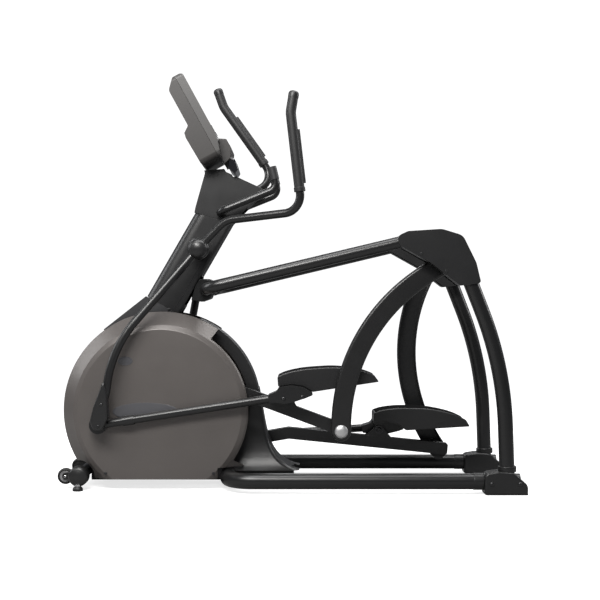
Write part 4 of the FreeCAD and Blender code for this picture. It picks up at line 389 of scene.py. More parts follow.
def buildDust():
    # a thin film on faces that look up, and a broad change of tone
    group, start, end = startGroup(
        "dustFilm",
        [("Amount", "NodeSocketFloat", 0.1)],
        [("Mask", "NodeSocketFloat"), ("Tone", "NodeSocketFloat")])
    shape = addNode(group, "ShaderNodeNewGeometry")
    split = addNode(group, "ShaderNodeSeparateXYZ")
    place = addNode(group, "ShaderNodeTexCoord")
    facing = addNode(group, "ShaderNodeMapRange")
    facing.inputs["From Min"].default_value = 0.55
    facing.inputs["From Max"].default_value = 1.0
    cloud = addNode(group, "ShaderNodeTexNoise")
    cloud.inputs["Scale"].default_value = 9
    cloud.inputs["Detail"].default_value = 8
    both = addNode(group, "ShaderNodeMath", operation="MULTIPLY")
    scaled = addNode(group, "ShaderNodeMath", operation="MULTIPLY", use_clamp=True)
    tone = addNode(group, "ShaderNodeMapRange")
    tone.inputs["To Min"].default_value = 0.9
    tone.inputs["To Max"].default_value = 1.1
    link = group.links.new
    link(shape.outputs["Normal"], split.inputs["Vector"])
    link(split.outputs["Z"], facing.inputs["Value"])
    link(place.outputs["Object"], cloud.inputs["Vector"])
    link(facing.outputs["Result"], both.inputs[0])
    link(cloud.outputs["Fac"], both.inputs[1])
    link(both.outputs[0], scaled.inputs[0])
    link(start.outputs["Amount"], scaled.inputs[1])
    link(cloud.outputs["Fac"], tone.inputs["Value"])
    link(scaled.outputs[0], end.inputs["Mask"])
    link(tone.outputs["Result"], end.inputs["Tone"])
    return group


def buildFlakeGlint():
    # metal flakes in paint: each cell has its own brightness, a painted glint of the flakes in the base colour
    group, start, end = startGroup(
        "paintedFlakeGlint",
        [("Scale", "NodeSocketFloat", 2200.0), ("Low", "NodeSocketFloat", 0.85),
         ("High", "NodeSocketFloat", 1.25)],
        [("Glint", "NodeSocketFloat")])
    place = addNode(group, "ShaderNodeTexCoord")
    cells = addNode(group, "ShaderNodeTexVoronoi")
    split = addNode(group, "ShaderNodeSeparateColor")
    spread = addNode(group, "ShaderNodeMapRange")
    link = group.links.new
    link(place.outputs["Object"], cells.inputs["Vector"])
    link(start.outputs["Scale"], cells.inputs["Scale"])
    link(cells.outputs["Color"], split.inputs["Color"])
    link(split.outputs["Red"], spread.inputs["Value"])
    link(start.outputs["Low"], spread.inputs["To Min"])
    link(start.outputs["High"], spread.inputs["To Max"])
    link(spread.outputs["Result"], end.inputs["Glint"])
    return group


# finishes

# a look's flake gives the scale and the lowest and highest brightness of the flakes' painted glint
finishLooks = {
    "framePaint": {"colour": (0.0085, 0.0086, 0.009), "worn": (0.06, 0.06, 0.062), "roughness": 0.31,
                   "wander": 0.08, "grain": 1100, "height": 0.22, "wear": 0.35, "dust": 0.03,
                   "metallic": 0.0, "gloss": 0.5},
    "castingPaint": {"colour": (0.0085, 0.0085, 0.0088), "worn": (0.06, 0.06, 0.06), "roughness": 0.34,
                     "wander": 0.1, "grain": 520, "height": 0.5, "wear": 0.4, "dust": 0.03,
                     "metallic": 0.0, "gloss": 0.5},
    "coverPlastic": {"colour": (0.0115, 0.0115, 0.012), "worn": (0.05, 0.05, 0.052), "roughness": 0.36,
                     "wander": 0.12, "grain": 1500, "height": 0.3, "wear": 0.2, "dust": 0.03,
                     "metallic": 0.0, "gloss": 0.5},
    "discPewter": {"colour": (0.106, 0.096, 0.091), "worn": (0.2, 0.19, 0.185), "roughness": 0.36,
                   "wander": 0.06, "grain": 1700, "height": 0.12, "wear": 0.12, "dust": 0.03,
                   "metallic": 0.25, "gloss": 0.5, "flake": (2400.0, 0.9, 1.12)},
    "fairingGrey": {"colour": (0.045, 0.045, 0.047), "worn": (0.16, 0.16, 0.16), "roughness": 0.36,
                    "wander": 0.08, "grain": 1500, "height": 0.22, "wear": 0.2, "dust": 0.08,
                    "metallic": 0.2, "gloss": 0.45},
    "consoleBrown": {"colour": (0.037, 0.0345, 0.0335), "worn": (0.09, 0.086, 0.083), "roughness": 0.46,
                     "wander": 0.06, "grain": 1500, "height": 0.12, "wear": 0.2, "dust": 0.05,
                     "metallic": 0.0, "gloss": 0.35, "flake": (2400.0, 0.95, 1.06)},
    "consoleGrey": {"colour": (0.06, 0.058, 0.057), "worn": (0.13, 0.128, 0.125), "roughness": 0.42,
                    "wander": 0.06, "grain": 1500, "height": 0.12, "wear": 0.15, "dust": 0.04,
                    "metallic": 0.0, "gloss": 0.38, "flake": (2400.0, 0.95, 1.06)},
    "screenGloss": {"colour": (0.006, 0.006, 0.008), "worn": (0.02, 0.02, 0.02), "roughness": 0.07,
                    "wander": 0.05, "grain": 60, "height": 0.01, "wear": 0.0, "dust": 0.04,
                    "metallic": 0.0, "gloss": 0.5, "coat": 0.6},
    "pedalPlastic": {"colour": (0.0105, 0.0105, 0.011), "worn": (0.06, 0.06, 0.06), "roughness": 0.4,
                     "wander": 0.12, "grain": 900, "height": 0.5, "wear": 0.35, "dust": 0.05,
                     "metallic": 0.0, "gloss": 0.45},
    "padRubber": {"colour": (0.03, 0.03, 0.031), "worn": (0.08, 0.08, 0.08), "roughness": 0.72,
                  "wander": 0.14, "grain": 1300, "height": 0.7, "wear": 0.3, "dust": 0.22,
                  "metallic": 0.0, "gloss": 0.3},
    "gripRubber": {"colour": (0.013, 0.013, 0.0135), "worn": (0.06, 0.06, 0.06), "roughness": 0.48,
                   "wander": 0.12, "grain": 1900, "height": 0.6, "wear": 0.25, "dust": 0.04,
                   "metallic": 0.0, "gloss": 0.42},
    "wheelRubber": {"colour": (0.02, 0.02, 0.02), "worn": (0.07, 0.07, 0.07), "roughness": 0.62,
                    "wander": 0.14, "grain": 800, "height": 0.6, "wear": 0.4, "dust": 0.2,
                    "metallic": 0.0, "gloss": 0.3},
    "contactSleeve": {"colour": (0.045, 0.045, 0.047), "worn": (0.2, 0.2, 0.2), "roughness": 0.4,
                      "wander": 0.08, "grain": 1800, "height": 0.15, "wear": 0.3, "dust": 0.04,
                      "metallic": 0.5, "gloss": 0.45},
    "plateGrey": {"colour": (0.1, 0.1, 0.108), "worn": (0.12, 0.12, 0.12), "roughness": 0.32,
                  "wander": 0.06, "grain": 1600, "height": 0.12, "wear": 0.15, "dust": 0.03,
                  "metallic": 0.3, "gloss": 0.5},
    "capGrey": {"colour": (0.2, 0.2, 0.205), "worn": (0.45, 0.45, 0.45), "roughness": 0.45,
                "wander": 0.08, "grain": 1500, "height": 0.2, "wear": 0.2, "dust": 0.05, "metallic": 0.0,
                "gloss": 0.45},
    "brightSteel": {"colour": (0.62, 0.62, 0.625), "worn": (0.75, 0.75, 0.75), "roughness": 0.27,
                    "wander": 0.1, "grain": 1800, "height": 0.12, "wear": 0.2, "dust": 0.03,
                    "metallic": 1.0, "gloss": 0.5},
    "satinSilver": {"colour": (0.56, 0.56, 0.565), "worn": (0.7, 0.7, 0.7), "roughness": 0.42,
                    "wander": 0.08, "grain": 2200, "height": 0.12, "wear": 0.1, "dust": 0.04,
                    "metallic": 0.85, "gloss": 0.5},
    "darkSteel": {"colour": (0.06, 0.06, 0.062), "worn": (0.3, 0.3, 0.3), "roughness": 0.38,
                  "wander": 0.1, "grain": 1600, "height": 0.2, "wear": 0.5, "dust": 0.04, "metallic": 0.9,
                  "gloss": 0.5},
    "castIron": {"colour": (0.12, 0.118, 0.116), "worn": (0.35, 0.35, 0.35), "roughness": 0.48,
                 "wander": 0.14, "grain": 420, "height": 0.5, "wear": 0.4, "dust": 0.06, "metallic": 0.9,
                 "gloss": 0.5},
    "castAluminium": {"colour": (0.5, 0.5, 0.51), "worn": (0.7, 0.7, 0.7), "roughness": 0.4,
                      "wander": 0.12, "grain": 600, "height": 0.3, "wear": 0.3, "dust": 0.04,
                      "metallic": 1.0, "gloss": 0.5},
}

finishForSlot = {
    "frame_black": "framePaint", "casting_black": "castingPaint", "cover_black": "coverPlastic",
    "disc_pewter": "discPewter", "fairing_grey": "fairingGrey", "console_brown": "consoleBrown",
    "console_grey": "consoleGrey", "screen_black": "screenGloss", "pedal_black": "pedalPlastic",
    "pad_rubber": "padRubber", "grip_rubber": "gripRubber", "wheel_rubber": "wheelRubber",
    "steel_bright": "brightSteel", "contact_steel": "contactSleeve", "flywheel_iron": "castIron",
    "pulley_aluminium": "castAluminium", "belt_rubber": "wheelRubber", "screw_dark": "darkSteel",
}
finishes = {}


def makeFinish(name, look, groups):
    material = bpy.data.materials.new(name)
    material.use_nodes = True
    tree = material.node_tree
    shader = tree.nodes["Principled BSDF"]
    shader.inputs["Metallic"].default_value = look["metallic"]
    shader.inputs["Specular IOR Level"].default_value = look["gloss"]
    if "coat" in look:
        shader.inputs["Coat Weight"].default_value = look["coat"]
        shader.inputs["Coat Roughness"].default_value = 0.12

    grain = addNode(tree, "ShaderNodeGroup", node_tree=groups["grain"])
    grain.inputs["Scale"].default_value = look["grain"]
    grain.inputs["Height"].default_value = look["height"]
    grain.inputs["Roughness"].default_value = look["roughness"]
    grain.inputs["Wander"].default_value = look["wander"]
    wear = addNode(tree, "ShaderNodeGroup", node_tree=groups["wear"])
    wear.inputs["Amount"].default_value = look["wear"]
    dust = addNode(tree, "ShaderNodeGroup", node_tree=groups["dust"])
    dust.inputs["Amount"].default_value = look["dust"]

    # a colour mix takes its two colours on sockets 6 and 7, and gives the result on output 2
    base = addNode(tree, "ShaderNodeMix", data_type="RGBA", blend_type="MULTIPLY")
    base.inputs["Factor"].default_value = 1.0
    base.inputs[6].default_value = (*look["colour"], 1)
    worn = addNode(tree, "ShaderNodeMix", data_type="RGBA")
    worn.inputs[7].default_value = (*look["worn"], 1)
    dusty = addNode(tree, "ShaderNodeMix", data_type="RGBA")
    dusty.inputs[7].default_value = (0.22, 0.215, 0.205, 1)
    link = tree.links.new
    tone = dust.outputs["Tone"]
    # the flakes' painted glint: the base colour made brighter or darker cell by cell
    if "flake" in look:
        flake = addNode(tree, "ShaderNodeGroup", node_tree=groups["flake"])
        for label, value in zip(("Scale", "Low", "High"), look["flake"]):
            flake.inputs[label].default_value = value
        glint = addNode(tree, "ShaderNodeMath", operation="MULTIPLY")
        link(tone, glint.inputs[0])
        link(flake.outputs["Glint"], glint.inputs[1])
        tone = glint.outputs[0]
    link(tone, base.inputs[7])
    link(base.outputs[2], worn.inputs[6])
    link(wear.outputs["Mask"], worn.inputs["Factor"])
    link(worn.outputs[2], dusty.inputs[6])
    link(dust.outputs["Mask"], dusty.inputs["Factor"])
    link(dusty.outputs[2], shader.inputs["Base Color"])
    link(grain.outputs["Roughness"], shader.inputs["Roughness"])
    link(grain.outputs["Normal"], shader.inputs["Normal"])
    return material


def makeFinishes():
    groups = {"grain": buildGrain(), "wear": buildWear(), "dust": buildDust(), "flake": buildFlakeGlint()}
    for name, look in finishLooks.items():
        finishes[name] = makeFinish(name, look, groups)


# CAD nodes as merged copies with softened edges, the pedals' tops drawn as a smooth curve

softEdges = {
    "default": 0.0008,
    "console_shell": 0.003, "console_bezel": 0.0025, "console_mount": 0.007,
    "corner_cover_left": 0.006, "corner_cover_right": 0.006, "corner_liners": 0.003,
    "mast_front_cover": 0.0012, "mast_rear_cover": 0.0012, "mast_base_fairing": 0.003,
    "disc_cover_left": 0.0015, "disc_cover_right": 0.0015, "rear_fender": 0.002, "front_shroud": 0.0015,
    "rear_foot_left": 0.005, "rear_foot_right": 0.005,
    "pedal_left": 0.0012, "pedal_right": 0.0012,
    "suspension_arm_left": 0.0015, "suspension_arm_right": 0.0015,
    "pedal_beam_left": 0.002, "pedal_beam_right": 0.002, "crank_arm_left": 0.002, "crank_arm_right": 0.002,
}


def refineNodes():
    pedalSides = {f"pedal_{side}": side for side in sides}
    for name in frame["nodes"]:
        if name == "console_tray":      # addTray makes this one
            continue
        edge = softEdges.get(name, softEdges["default"])
        reshape = roundPedal(pedalSides[name]) if name in pedalSides else None
        piece = refined(name, edge, reshape=reshape)
        finishPiece(piece, finishForSlot[slotOf[name]], bodyOf[name], (name,))


# finding places on the CAD nodes

linkTilt = {"left": 8.72, "right": 3.52}       # degrees, link rod at rest, rear end up
handleRest = {"left": 0.0, "right": 28.73}     # degrees, handle at rest
# the face's lower edge, and the directions out of the face and up along it, as x and z; turn in degrees
consoleFrame = {"edge": (-0.278, 1.363), "out": (0.877, 0.480), "up": (-0.480, 0.877), "turn": 61.3}


def nodeTree(name):
    mesh = frame["nodes"][name].data
    return BVHTree.FromPolygons([corner.co for corner in mesh.vertices],
                                [face.vertices for face in mesh.polygons])


def outerFace(name, side):
    # how far across the machine a node reaches on one side
    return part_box(name)[0 if side < 0 else 1][1]


def surfacePoint(name, x, z, side):
    # where a line across the machine first meets a node, from outside
    place = nodeTree(name).ray_cast(Vector((x, side, z)), Vector((0, -side, 0)))[0]
    return place or Vector((x, outerFace(name, side), z))


def tilted(degrees, along, up):
    # x and z of an offset given in a frame that is turned about a line across the machine
    turn = math.radians(degrees)
    return along * math.cos(turn) - up * math.sin(turn), along * math.sin(turn) + up * math.cos(turn)


def linkPlace(side, along, up):
    # x and z of a place given along the link rod and square to it, from the pedal pivot
    pivot = pivotOf[f"pedal_{side}_pivot"]
    x, z = tilted(linkTilt[side], along, up)
    return pivot.x + x, pivot.z + z


def handlePlace(side, along, up):
    # x and z of a place given from the handle's pivot with the handle upright
    pivot = pivotOf[f"handle_{side}_swing"]
    x, z = tilted(handleRest[side], along, up)
    return pivot.x + x, pivot.z + z


def consolePlace(out, up, y):
    # a place given out from the console's face and up along it, from the face's lower edge
    edge, outward, upward = consoleFrame["edge"], consoleFrame["out"], consoleFrame["up"]
    return Vector((edge[0] + out * outward[0] + up * upward[0], y,
                   edge[1] + out * outward[1] + up * upward[1]))


def endCentre(name, direction, depth=0.0015):
    # middle of the end that a tube shows in a direction
    points = [corner.co for corner in frame["nodes"][name].data.vertices]
    top = max(point.dot(direction) for point in points)
    last = [point for point in points if top - point.dot(direction) < depth]
    return sum(last, Vector()) / len(last)


# screws

screwShape = {"radius": 0.0058, "height": 0.0034, "sink": 0.0015, "socket": 0.46, "vertices": 20,
              "neck": 0.96, "head": [(0.0, 1.0), (0.45, 0.94), (0.85, 0.76), (1.0, 0.58)],
              "socketFloor": (0.25, 0.95)}

# places are in the handle's own frame, then in the link rod's, then twice as x and z
footScrews = {"radius": 0.0058, "places": [(-0.354, -0.590), (-0.366, -0.672)]}
bracketBolts = {"radius": 0.0075, "places": [(-0.0092, -0.0071), (0.062, -0.012)]}
fairingScrews = {"radius": 0.0058, "places": [(-0.470, 0.690), (-0.600, 0.655)]}
castingBolts = {"radius": 0.0085, "places": [(0.757, 0.042), (0.862, 0.042)]}


def buttonScrew(name, place, outward, radius):
    # a domed head with a round socket, sunk a little so that it stands on its seat
    setup = screwShape
    height = setup["height"] * radius / setup["radius"]
    socket = radius * setup["socket"]
    depth, narrow = setup["socketFloor"]
    head = [(height * along, radius * share) for along, share in setup["head"]]
    hollow = [(height, socket), (height * depth, socket * narrow)]
    steps = [(-setup["sink"], radius * setup["neck"])] + head + hollow
    return turnedPiece(name, place, outward, steps, setup["vertices"])


def sideScrews(name, seat, side, places, radius, body):
    # screws in the outer face of one node, at places given as x and z
    sign = sides[side]
    for number, (x, z) in enumerate(places):
        place = surfacePoint(seat, x, z, sign)
        screw = buttonScrew(f"{name}{number}_{side}", place, (0, sign, 0), radius)
        finishPiece(screw, "darkSteel", body)


def addScrews():
    for side in sides:
        places = [handlePlace(side, along, up) for along, up in footScrews["places"]]
        sideScrews("footScrew", f"handle_foot_cover_{side}", side, places, footScrews["radius"],
                   f"handle_{side}")
        places = [linkPlace(side, along, up) for along, up in bracketBolts["places"]]
        sideScrews("bracketBolt", f"link_rod_{side}", side, places, bracketBolts["radius"],
                   f"pedal_link_{side}")
        sideScrews("fairingScrew", "mast_base_fairing", side, fairingScrews["places"],
                   fairingScrews["radius"], "frame")
        sideScrews("castingBolt", f"rear_foot_{side}", side, castingBolts["places"],
                   castingBolts["radius"], "frame")


# domed caps over the pivots

hubCap = {"seat": 0.160, "vertices": 56,
          "steps": [(-0.004, 0.030), (0.006, 0.037), (0.014, 0.0375), (0.022, 0.035), (0.029, 0.029),
                    (0.034, 0.020), (0.0365, 0.009), (0.037, 0.002)]}
hubScrew = {"forward": 0.014, "up": 0.012, "out": 0.0335, "radius": 0.005}
pivotDome = {"vertices": 48,
             "steps": [(-0.003, 0.0255), (0.001, 0.0255), (0.0025, 0.0245), (0.006, 0.022),
                       (0.0090, 0.0165), (0.0106, 0.009), (0.011, 0.002)]}
washer = {"vertices": 40, "thick": 0.0022, "boltRadius": 0.011,
          "steps": [(-0.001, 0.0165), (0.0, 0.0175), (0.0016, 0.0175), (0.0022, 0.0168)]}


def addPivotCaps():
    for side, sign in sides.items():
        outward = (0, sign, 0)
        hub = pivotOf[f"handle_{side}_swing"]
        seat = (hub.x, sign * hubCap["seat"], hub.z)
        cap = turnedPiece(f"hubCap_{side}", seat, outward, hubCap["steps"], hubCap["vertices"])
        smooth(cap, degrees=60)
        finishPiece(cap, "coverPlastic", f"handle_{side}")
        place = (hub.x - hubScrew["forward"], sign * (hubCap["seat"] + hubScrew["out"]),
                 hub.z + hubScrew["up"])
        screw = buttonScrew(f"hubScrew_{side}", place, outward, hubScrew["radius"])
        finishPiece(screw, "darkSteel", f"handle_{side}")
        low = pivotOf[f"beam_{side}_pivot"]
        seat = surfacePoint(f"suspension_arm_{side}", low.x, low.z, sign)
        dome = turnedPiece(f"pivotDome_{side}", (low.x, seat.y, low.z), outward, pivotDome["steps"],
                           pivotDome["vertices"])
        smooth(dome, degrees=60)
        finishPiece(dome, "satinSilver", f"arm_{side}")
        addPostWashers(side, sign)


def addPostWashers(side, sign):
    # a washer and a bolt on each end of the post that carries the pedal link
    post = pivotOf[f"pedal_{side}_pivot"]
    for number, way in enumerate((sign, -sign)):
        seat = surfacePoint(f"pedal_beam_{side}", post.x, post.z, way)
        ring = turnedPiece(f"postWasher{number}_{side}", (post.x, seat.y, post.z), (0, way, 0),
                           washer["steps"], washer["vertices"])
        bolt = buttonScrew(f"postBolt{number}_{side}", (post.x, seat.y + way * washer["thick"], post.z),
                           (0, way, 0), washer["boltRadius"])
        finishPiece(ring, "darkSteel", f"beam_{side}")
        finishPiece(bolt, "darkSteel", f"beam_{side}")


# pedal pads: low ribs across the sole

padRib = {"first": 0.002, "last": 0.298, "pitch": 0.0105, "width": 0.0046, "height": 0.0026,
          "half": 0.058, "edge": 0.0009, "above": 0.2,
          "taper": 0.05, "heel": (0.45, 0.012), "toe": (0.5, 0.016)}


def ribShare(along):
    # how much of its full length a rib keeps: the ribs get shorter towards both ends of the sole
    setup = padRib
    fromHeel = along - setup["first"] + setup["heel"][1]
    fromToe = setup["last"] - along + setup["toe"][1]
    ends = [(setup["heel"][0], fromHeel), (setup["toe"][0], fromToe)]
    return min(least + (1 - least) * min(reach, setup["taper"]) / setup["taper"] for least, reach in ends)


def padRibPiece(place, normal, along):
    # one rib: its long side across the machine, half of its height standing out of the pad
    setup = padRib
    deselectAll()
    bpy.ops.mesh.primitive_cube_add(size=1, location=place,
                                    rotation=normal.to_track_quat("Z", "Y").to_euler())
    rib = bpy.context.object
    lengthwise = rib.rotation_euler.to_matrix().inverted() @ Vector((0, 1, 0))
    across = 2 * setup["half"] * ribShare(along)
    rib.scale = (across if abs(lengthwise.x) > 0.5 else setup["width"],
                 across if abs(lengthwise.y) > 0.5 else setup["width"], setup["height"])
    settle(rib)
    return rib


def addPadRibs():
    setup = padRib
    count = int((setup["last"] - setup["first"]) / setup["pitch"])
    for side in sides:
        low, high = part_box(f"pedal_{side}")
        middle = (low[1] + high[1]) / 2
        tilt = math.radians(linkTilt[side])
        down = Vector((math.sin(tilt), 0, -math.cos(tilt)))
        deck = nodeTree(f"pedal_pad_{side}")
        ribs = []
        for number in range(count + 1):
            along = setup["first"] + number * setup["pitch"]
            x, z = linkPlace(side, along, setup["above"])
            place, normal = deck.ray_cast(Vector((x, middle, z)), down)[:2]
            if place is not None:
                ribs.append(padRibPiece(place, normal, along))
        piece = joinPieces(ribs, f"padRibs_{side}")
        applyModifier(piece, "BEVEL", width=setup["edge"], segments=3, limit_method="ANGLE",
                      angle_limit=math.radians(40))
        smooth(piece, degrees=50)
        finishPiece(piece, "padRubber", f"pedal_link_{side}")


# pedals: the top line of the side drawn as one smooth curve

pedalLine = {"flat": [(-0.024, 0.0757), (0.054, 0.084), (0.166, 0.078), (0.233, 0.071), (0.299, 0.048),
                      (0.347, 0.026)],
             "curve": [(-0.024, 0.0757), (0.010, 0.0850), (0.067, 0.0895), (0.135, 0.0860),
                       (0.203, 0.0780), (0.270, 0.0610), (0.315, 0.0440), (0.347, 0.026)],
             "pitch": 0.012, "start": 0.6}


def lineHeight(points, along):
    along = min(max(along, points[0][0]), points[-1][0])
    for (start, low), (end, high) in zip(points, points[1:]):
        if along <= end:
            return low + (high - low) * (along - start) / (end - start)


def curveHeight(points, along):
    # a smooth curve through the points, as steep at each one as a line between its neighbours
    along = min(max(along, points[0][0]), points[-1][0])
    for number, ((start, low), (end, high)) in enumerate(zip(points, points[1:])):
        if along <= end:
            before = points[max(number - 1, 0)]
            after = points[min(number + 2, len(points) - 1)]
            width = end - start
            leave = width * (high - before[1]) / (end - before[0])
            arrive = width * (after[1] - low) / (after[0] - start)
            share = (along - start) / width
            return (low * (2 * share ** 3 - 3 * share ** 2 + 1)
                    + leave * (share ** 3 - 2 * share ** 2 + share)
                    + high * (3 * share ** 2 - 2 * share ** 3)
                    + arrive * (share ** 3 - share ** 2))


def roundPedal(side):
    # gives the reshaping that lifts a pedal's top from its flat lines onto the curve
    pivot = pivotOf[f"pedal_{side}_pivot"]
    tilt = math.radians(linkTilt[side])
    along = Vector((math.cos(tilt), 0, math.sin(tilt)))
    up = Vector((-math.sin(tilt), 0, math.cos(tilt)))
    flat, curve = pedalLine["flat"], pedalLine["curve"]

    def reshape(piece):
        editAll(piece)
        place = flat[0][0] + pedalLine["pitch"]
        while place < flat[-1][0]:
            bpy.ops.mesh.select_all(action="SELECT")
            bpy.ops.mesh.bisect(plane_co=pivot + along * place, plane_no=along)
            place += pedalLine["pitch"]
        bpy.ops.object.mode_set(mode="OBJECT")
        for corner in piece.data.vertices:
            offset = corner.co - pivot
            old = lineHeight(flat, offset.dot(along))
            rise = curveHeight(curve, offset.dot(along)) - old
            share = (offset.dot(up) / old - pedalLine["start"]) / (1 - pedalLine["start"])
            corner.co += up * rise * min(max(share, 0.0), 1.0)

    return reshape


# disc covers: a badge plate with a raised rim, and a grey plate across the middle

discPlates = {
    "badge": {"place": (-0.624, 0.494), "share": 0.6, "vertices": 96,
              "steps": [(-0.0015, 0.0285), (0.0012, 0.0285), (0.0020, 0.0276), (0.0020, 0.0256),
                        (0.0010, 0.0244), (0.0010, 0.0150), (0.0017, 0.0142), (0.0017, 0.004)]},
    "lensPlate": {"place": (-0.5457, 0.3005), "share": 0.27, "vertices": 96,
                  "steps": [(-0.0015, 0.1262), (0.0008, 0.1265), (0.0014, 0.1250), (0.0017, 0.1180),
                            (0.0017, 0.004)]},
}


def addDiscPlates():
    # round plates, squashed to ovals: share is height over width
    for side, sign in sides.items():
        for name, plate in discPlates.items():
            x, z = plate["place"]
            seat = surfacePoint(f"disc_cover_{side}", x, z, sign)
            piece = turnedPiece(f"{name}_{side}", seat, (0, sign, 0), plate["steps"], plate["vertices"])
            editAll(piece)
            bpy.ops.transform.resize(value=(1, 1, plate["share"]), center_override=seat)
            bpy.ops.object.mode_set(mode="OBJECT")
            smooth(piece, degrees=40)
            finishPiece(piece, "plateGrey", "frame")


# console: keys and a start button on the face

consoleKeys = {"rows": (0.022, 0.044), "columns": (-0.108, -0.072, -0.036, 0.036, 0.072, 0.108),
               "size": (0.013, 0.026, 0.004), "radius": 0.003, "edge": 0.0008}
startButton = {"up": 0.033, "radius": 0.0145, "vertices": 48,
               "profile": [(-0.001, 1.0), (0.0022, 1.0), (0.0036, 0.95), (0.0042, 0.84), (0.0036, 0.5),
                           (0.0034, 0.1)]}


def addConsoleDetails():
    turn = (0, math.radians(consoleFrame["turn"]), 0)
    outward = (consoleFrame["out"][0], 0, consoleFrame["out"][1])
    keys = []
    for up in consoleKeys["rows"]:
        for y in consoleKeys["columns"]:
            key = roundedPlate(f"key{len(keys)}", consolePlace(0.0, up, y), consoleKeys["size"],
                               consoleKeys["radius"], turn, consoleKeys["edge"])
            keys.append(key)
    keys = joinPieces(keys, "consoleKeys")
    smooth(keys)
    finishPiece(keys, "gripRubber", "frame")
    steps = [(along, startButton["radius"] * share) for along, share in startButton["profile"]]
    button = turnedPiece("startButton", consolePlace(0.0, startButton["up"], 0.0), outward, steps,
                         startButton["vertices"])
    smooth(button, degrees=50)
    finishPiece(button, "satinSilver", "frame")


# console tray: a block on the face and a glossy lip below it

trayBlock = {"half": 0.108, "bevel": 0.004,
             "outline": [(0.001, -0.008), (0.0265, -0.024), (0.0275, -0.064), (0.006, -0.099),
                         (-0.028, -0.108), (-0.024, -0.060)]}
trayLip = {"half": 0.100, "bevel": 0.005,
           "outline": [(-0.002, -0.084), (0.019, -0.109), (0.0107, -0.149), (-0.0105, -0.159),
                       (-0.021, -0.131)]}


def outlinePiece(name, setup):
    # an outline in the console's frame, drawn out across the machine
    deselectAll()
    bpy.ops.mesh.primitive_circle_add(vertices=len(setup["outline"]), radius=0.01, fill_type="NGON")
    piece = bpy.context.object
    for corner, (out, up) in zip(piece.data.vertices, setup["outline"]):
        corner.co = consolePlace(out, up, -setup["half"])
    editAll(piece)
    bpy.ops.mesh.extrude_region_move(TRANSFORM_OT_translate={"value": (0, 2 * setup["half"], 0)})
    bpy.ops.object.mode_set(mode="OBJECT")
    settle(piece, name)
    applyModifier(piece, "BEVEL", width=setup["bevel"], segments=4, limit_method="ANGLE",
                  angle_limit=math.radians(25))
    smooth(piece)
    return piece


def addTray():
    block = outlinePiece("trayBlock", trayBlock)
    lip = outlinePiece("trayLip", trayLip)
    finishPiece(block, "consoleBrown", "frame", ("console_tray",))
    finishPiece(lip, "screenGloss", "frame")


# frame: weld beads, collars, wheel hubs and lock nuts

weldShape = {"bead": 0.0034, "ripple": 0.0012, "grain": 0.006, "around": 96, "across": 10}
collarShape = {"edge": 0.003, "knee": 0.3, "vertices": 56}

# place on the right side, axis, radius
welds = {
    "railWeld": ((-0.232, 0.0405, 0.047), (0, 1, 0), 0.0305),
    "boomWeld": ((-0.301, 0.0585, 0.772), (0, 1, 0), 0.0238),
}
# place on the right side, axis, radius, depth
collars = {
    "uprightCollar": ((0.8205, 0.275, 0.094), (-0.02, 0, 1), 0.0345, 0.022),
    "railSleeve": ((0.712, 0.275, 0.047), (1, 0, 0), 0.0318, 0.040),
}
wheelHub = {"steps": [(-0.002, 0.021), (0.0006, 0.021), (0.0012, 0.0195), (-0.0006, 0.0185),
                      (-0.0006, 0.012), (0.0026, 0.0105), (0.0032, 0.008)],
            "vertices": 48, "boltOut": 0.003, "boltRadius": 0.0062}
footNut = {"height": 0.0172, "flats": 6,
           "steps": [(0, 0.0095), (0.0008, 0.0104), (0.0062, 0.0104), (0.007, 0.0095)]}


def weldBead(name, centre, axis, radius):
    deselectAll()
    bpy.ops.mesh.primitive_torus_add(major_segments=weldShape["around"],
                                     minor_segments=weldShape["across"], major_radius=radius,
                                     minor_radius=weldShape["bead"], location=centre,
                                     rotation=Vector(axis).to_track_quat("Z", "Y").to_euler())
    bead = bpy.context.object
    settle(bead, name)
    ripple = bpy.data.textures.new(name + "Ripple", "CLOUDS")
    ripple.noise_scale = weldShape["grain"]
    applyModifier(bead, "DISPLACE", texture=ripple, strength=weldShape["ripple"], mid_level=0.5,
                  texture_coords="GLOBAL")
    smooth(bead, degrees=70)
    finishPiece(bead, "framePaint", "frame")


def collar(name, centre, axis, radius, depth):
    half, edge = depth / 2, collarShape["edge"]
    knee = edge * collarShape["knee"]
    ends = [(half - edge, radius), (half - knee, radius - knee), (half, radius - edge)]
    steps = [(-along, reach) for along, reach in reversed(ends)] + ends
    ring = turnedPiece(name, centre, axis, steps, collarShape["vertices"])
    smooth(ring, degrees=50)
    finishPiece(ring, "castingPaint", "frame")


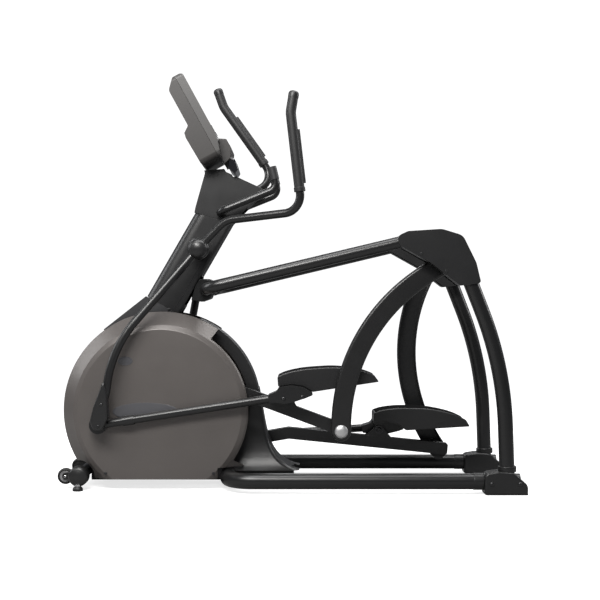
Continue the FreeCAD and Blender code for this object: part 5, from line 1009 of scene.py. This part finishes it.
def addWheelHub(side, sign):
    outward = (0, sign, 0)
    wheel = pivotOf[f"wheel_{side}_spin"]
    outer = outerFace(f"transport_wheel_{side}", sign)
    hub = turnedPiece(f"wheelHub_{side}", (wheel.x, outer, wheel.z), outward, wheelHub["steps"],
                      wheelHub["vertices"])
    smooth(hub, degrees=40)
    finishPiece(hub, "capGrey", f"wheel_{side}")
    place = (wheel.x, outer + sign * wheelHub["boltOut"], wheel.z)
    bolt = buttonScrew(f"wheelBolt_{side}", place, outward, wheelHub["boltRadius"])
    finishPiece(bolt, "brightSteel", f"wheel_{side}")


def addFootNut(side):
    foot = pivotOf[f"foot_{side}_turn"]
    nut = turnedPiece(f"footNut_{side}", (foot.x, foot.y, footNut["height"]), (0, 0, 1),
                      footNut["steps"], footNut["flats"])
    finishPiece(nut, "brightSteel", f"foot_{side}")


def addFrameDetails():
    for side, sign in sides.items():
        for name, (place, axis, radius) in welds.items():
            weldBead(f"{name}_{side}", (place[0], sign * place[1], place[2]), axis, radius)
        for name, (place, axis, radius, depth) in collars.items():
            collar(f"{name}_{side}", (place[0], sign * place[1], place[2]), axis, radius, depth)
        addWheelHub(side, sign)
        addFootNut(side)


# handle ends: domed black tips

handleTip = {"way": (10, 61), "vertices": 48,
             "steps": [(-0.016, 0.0200), (-0.003, 0.0205), (0.003, 0.0192), (0.0075, 0.0155),
                       (0.0100, 0.0095), (0.0108, 0.003)]}


def addHandleTips():
    for side in sides:
        x, z = tilted(handleRest[side], *handleTip["way"])
        way = Vector((x, 0, z)).normalized()
        centre = endCentre(f"handle_grip_{side}", way)
        tip = turnedPiece(f"handleTip_{side}", centre, way, handleTip["steps"], handleTip["vertices"])
        smooth(tip, degrees=60)
        finishPiece(tip, "coverPlastic", f"handle_{side}")


addCamera()
addWorld()
addFloor()
addLights()
makeFinishes()
print("stage and finishes ready")
refineNodes()
print("CAD nodes refined")
addScrews()
addPivotCaps()
addPadRibs()
print("screws, caps and pads ready")
addDiscPlates()
addConsoleDetails()
addTray()
addFrameDetails()
addHandleTips()
print("plates, console, frame details and tips ready")

bpy.context.scene.view_settings.view_transform = "Standard"
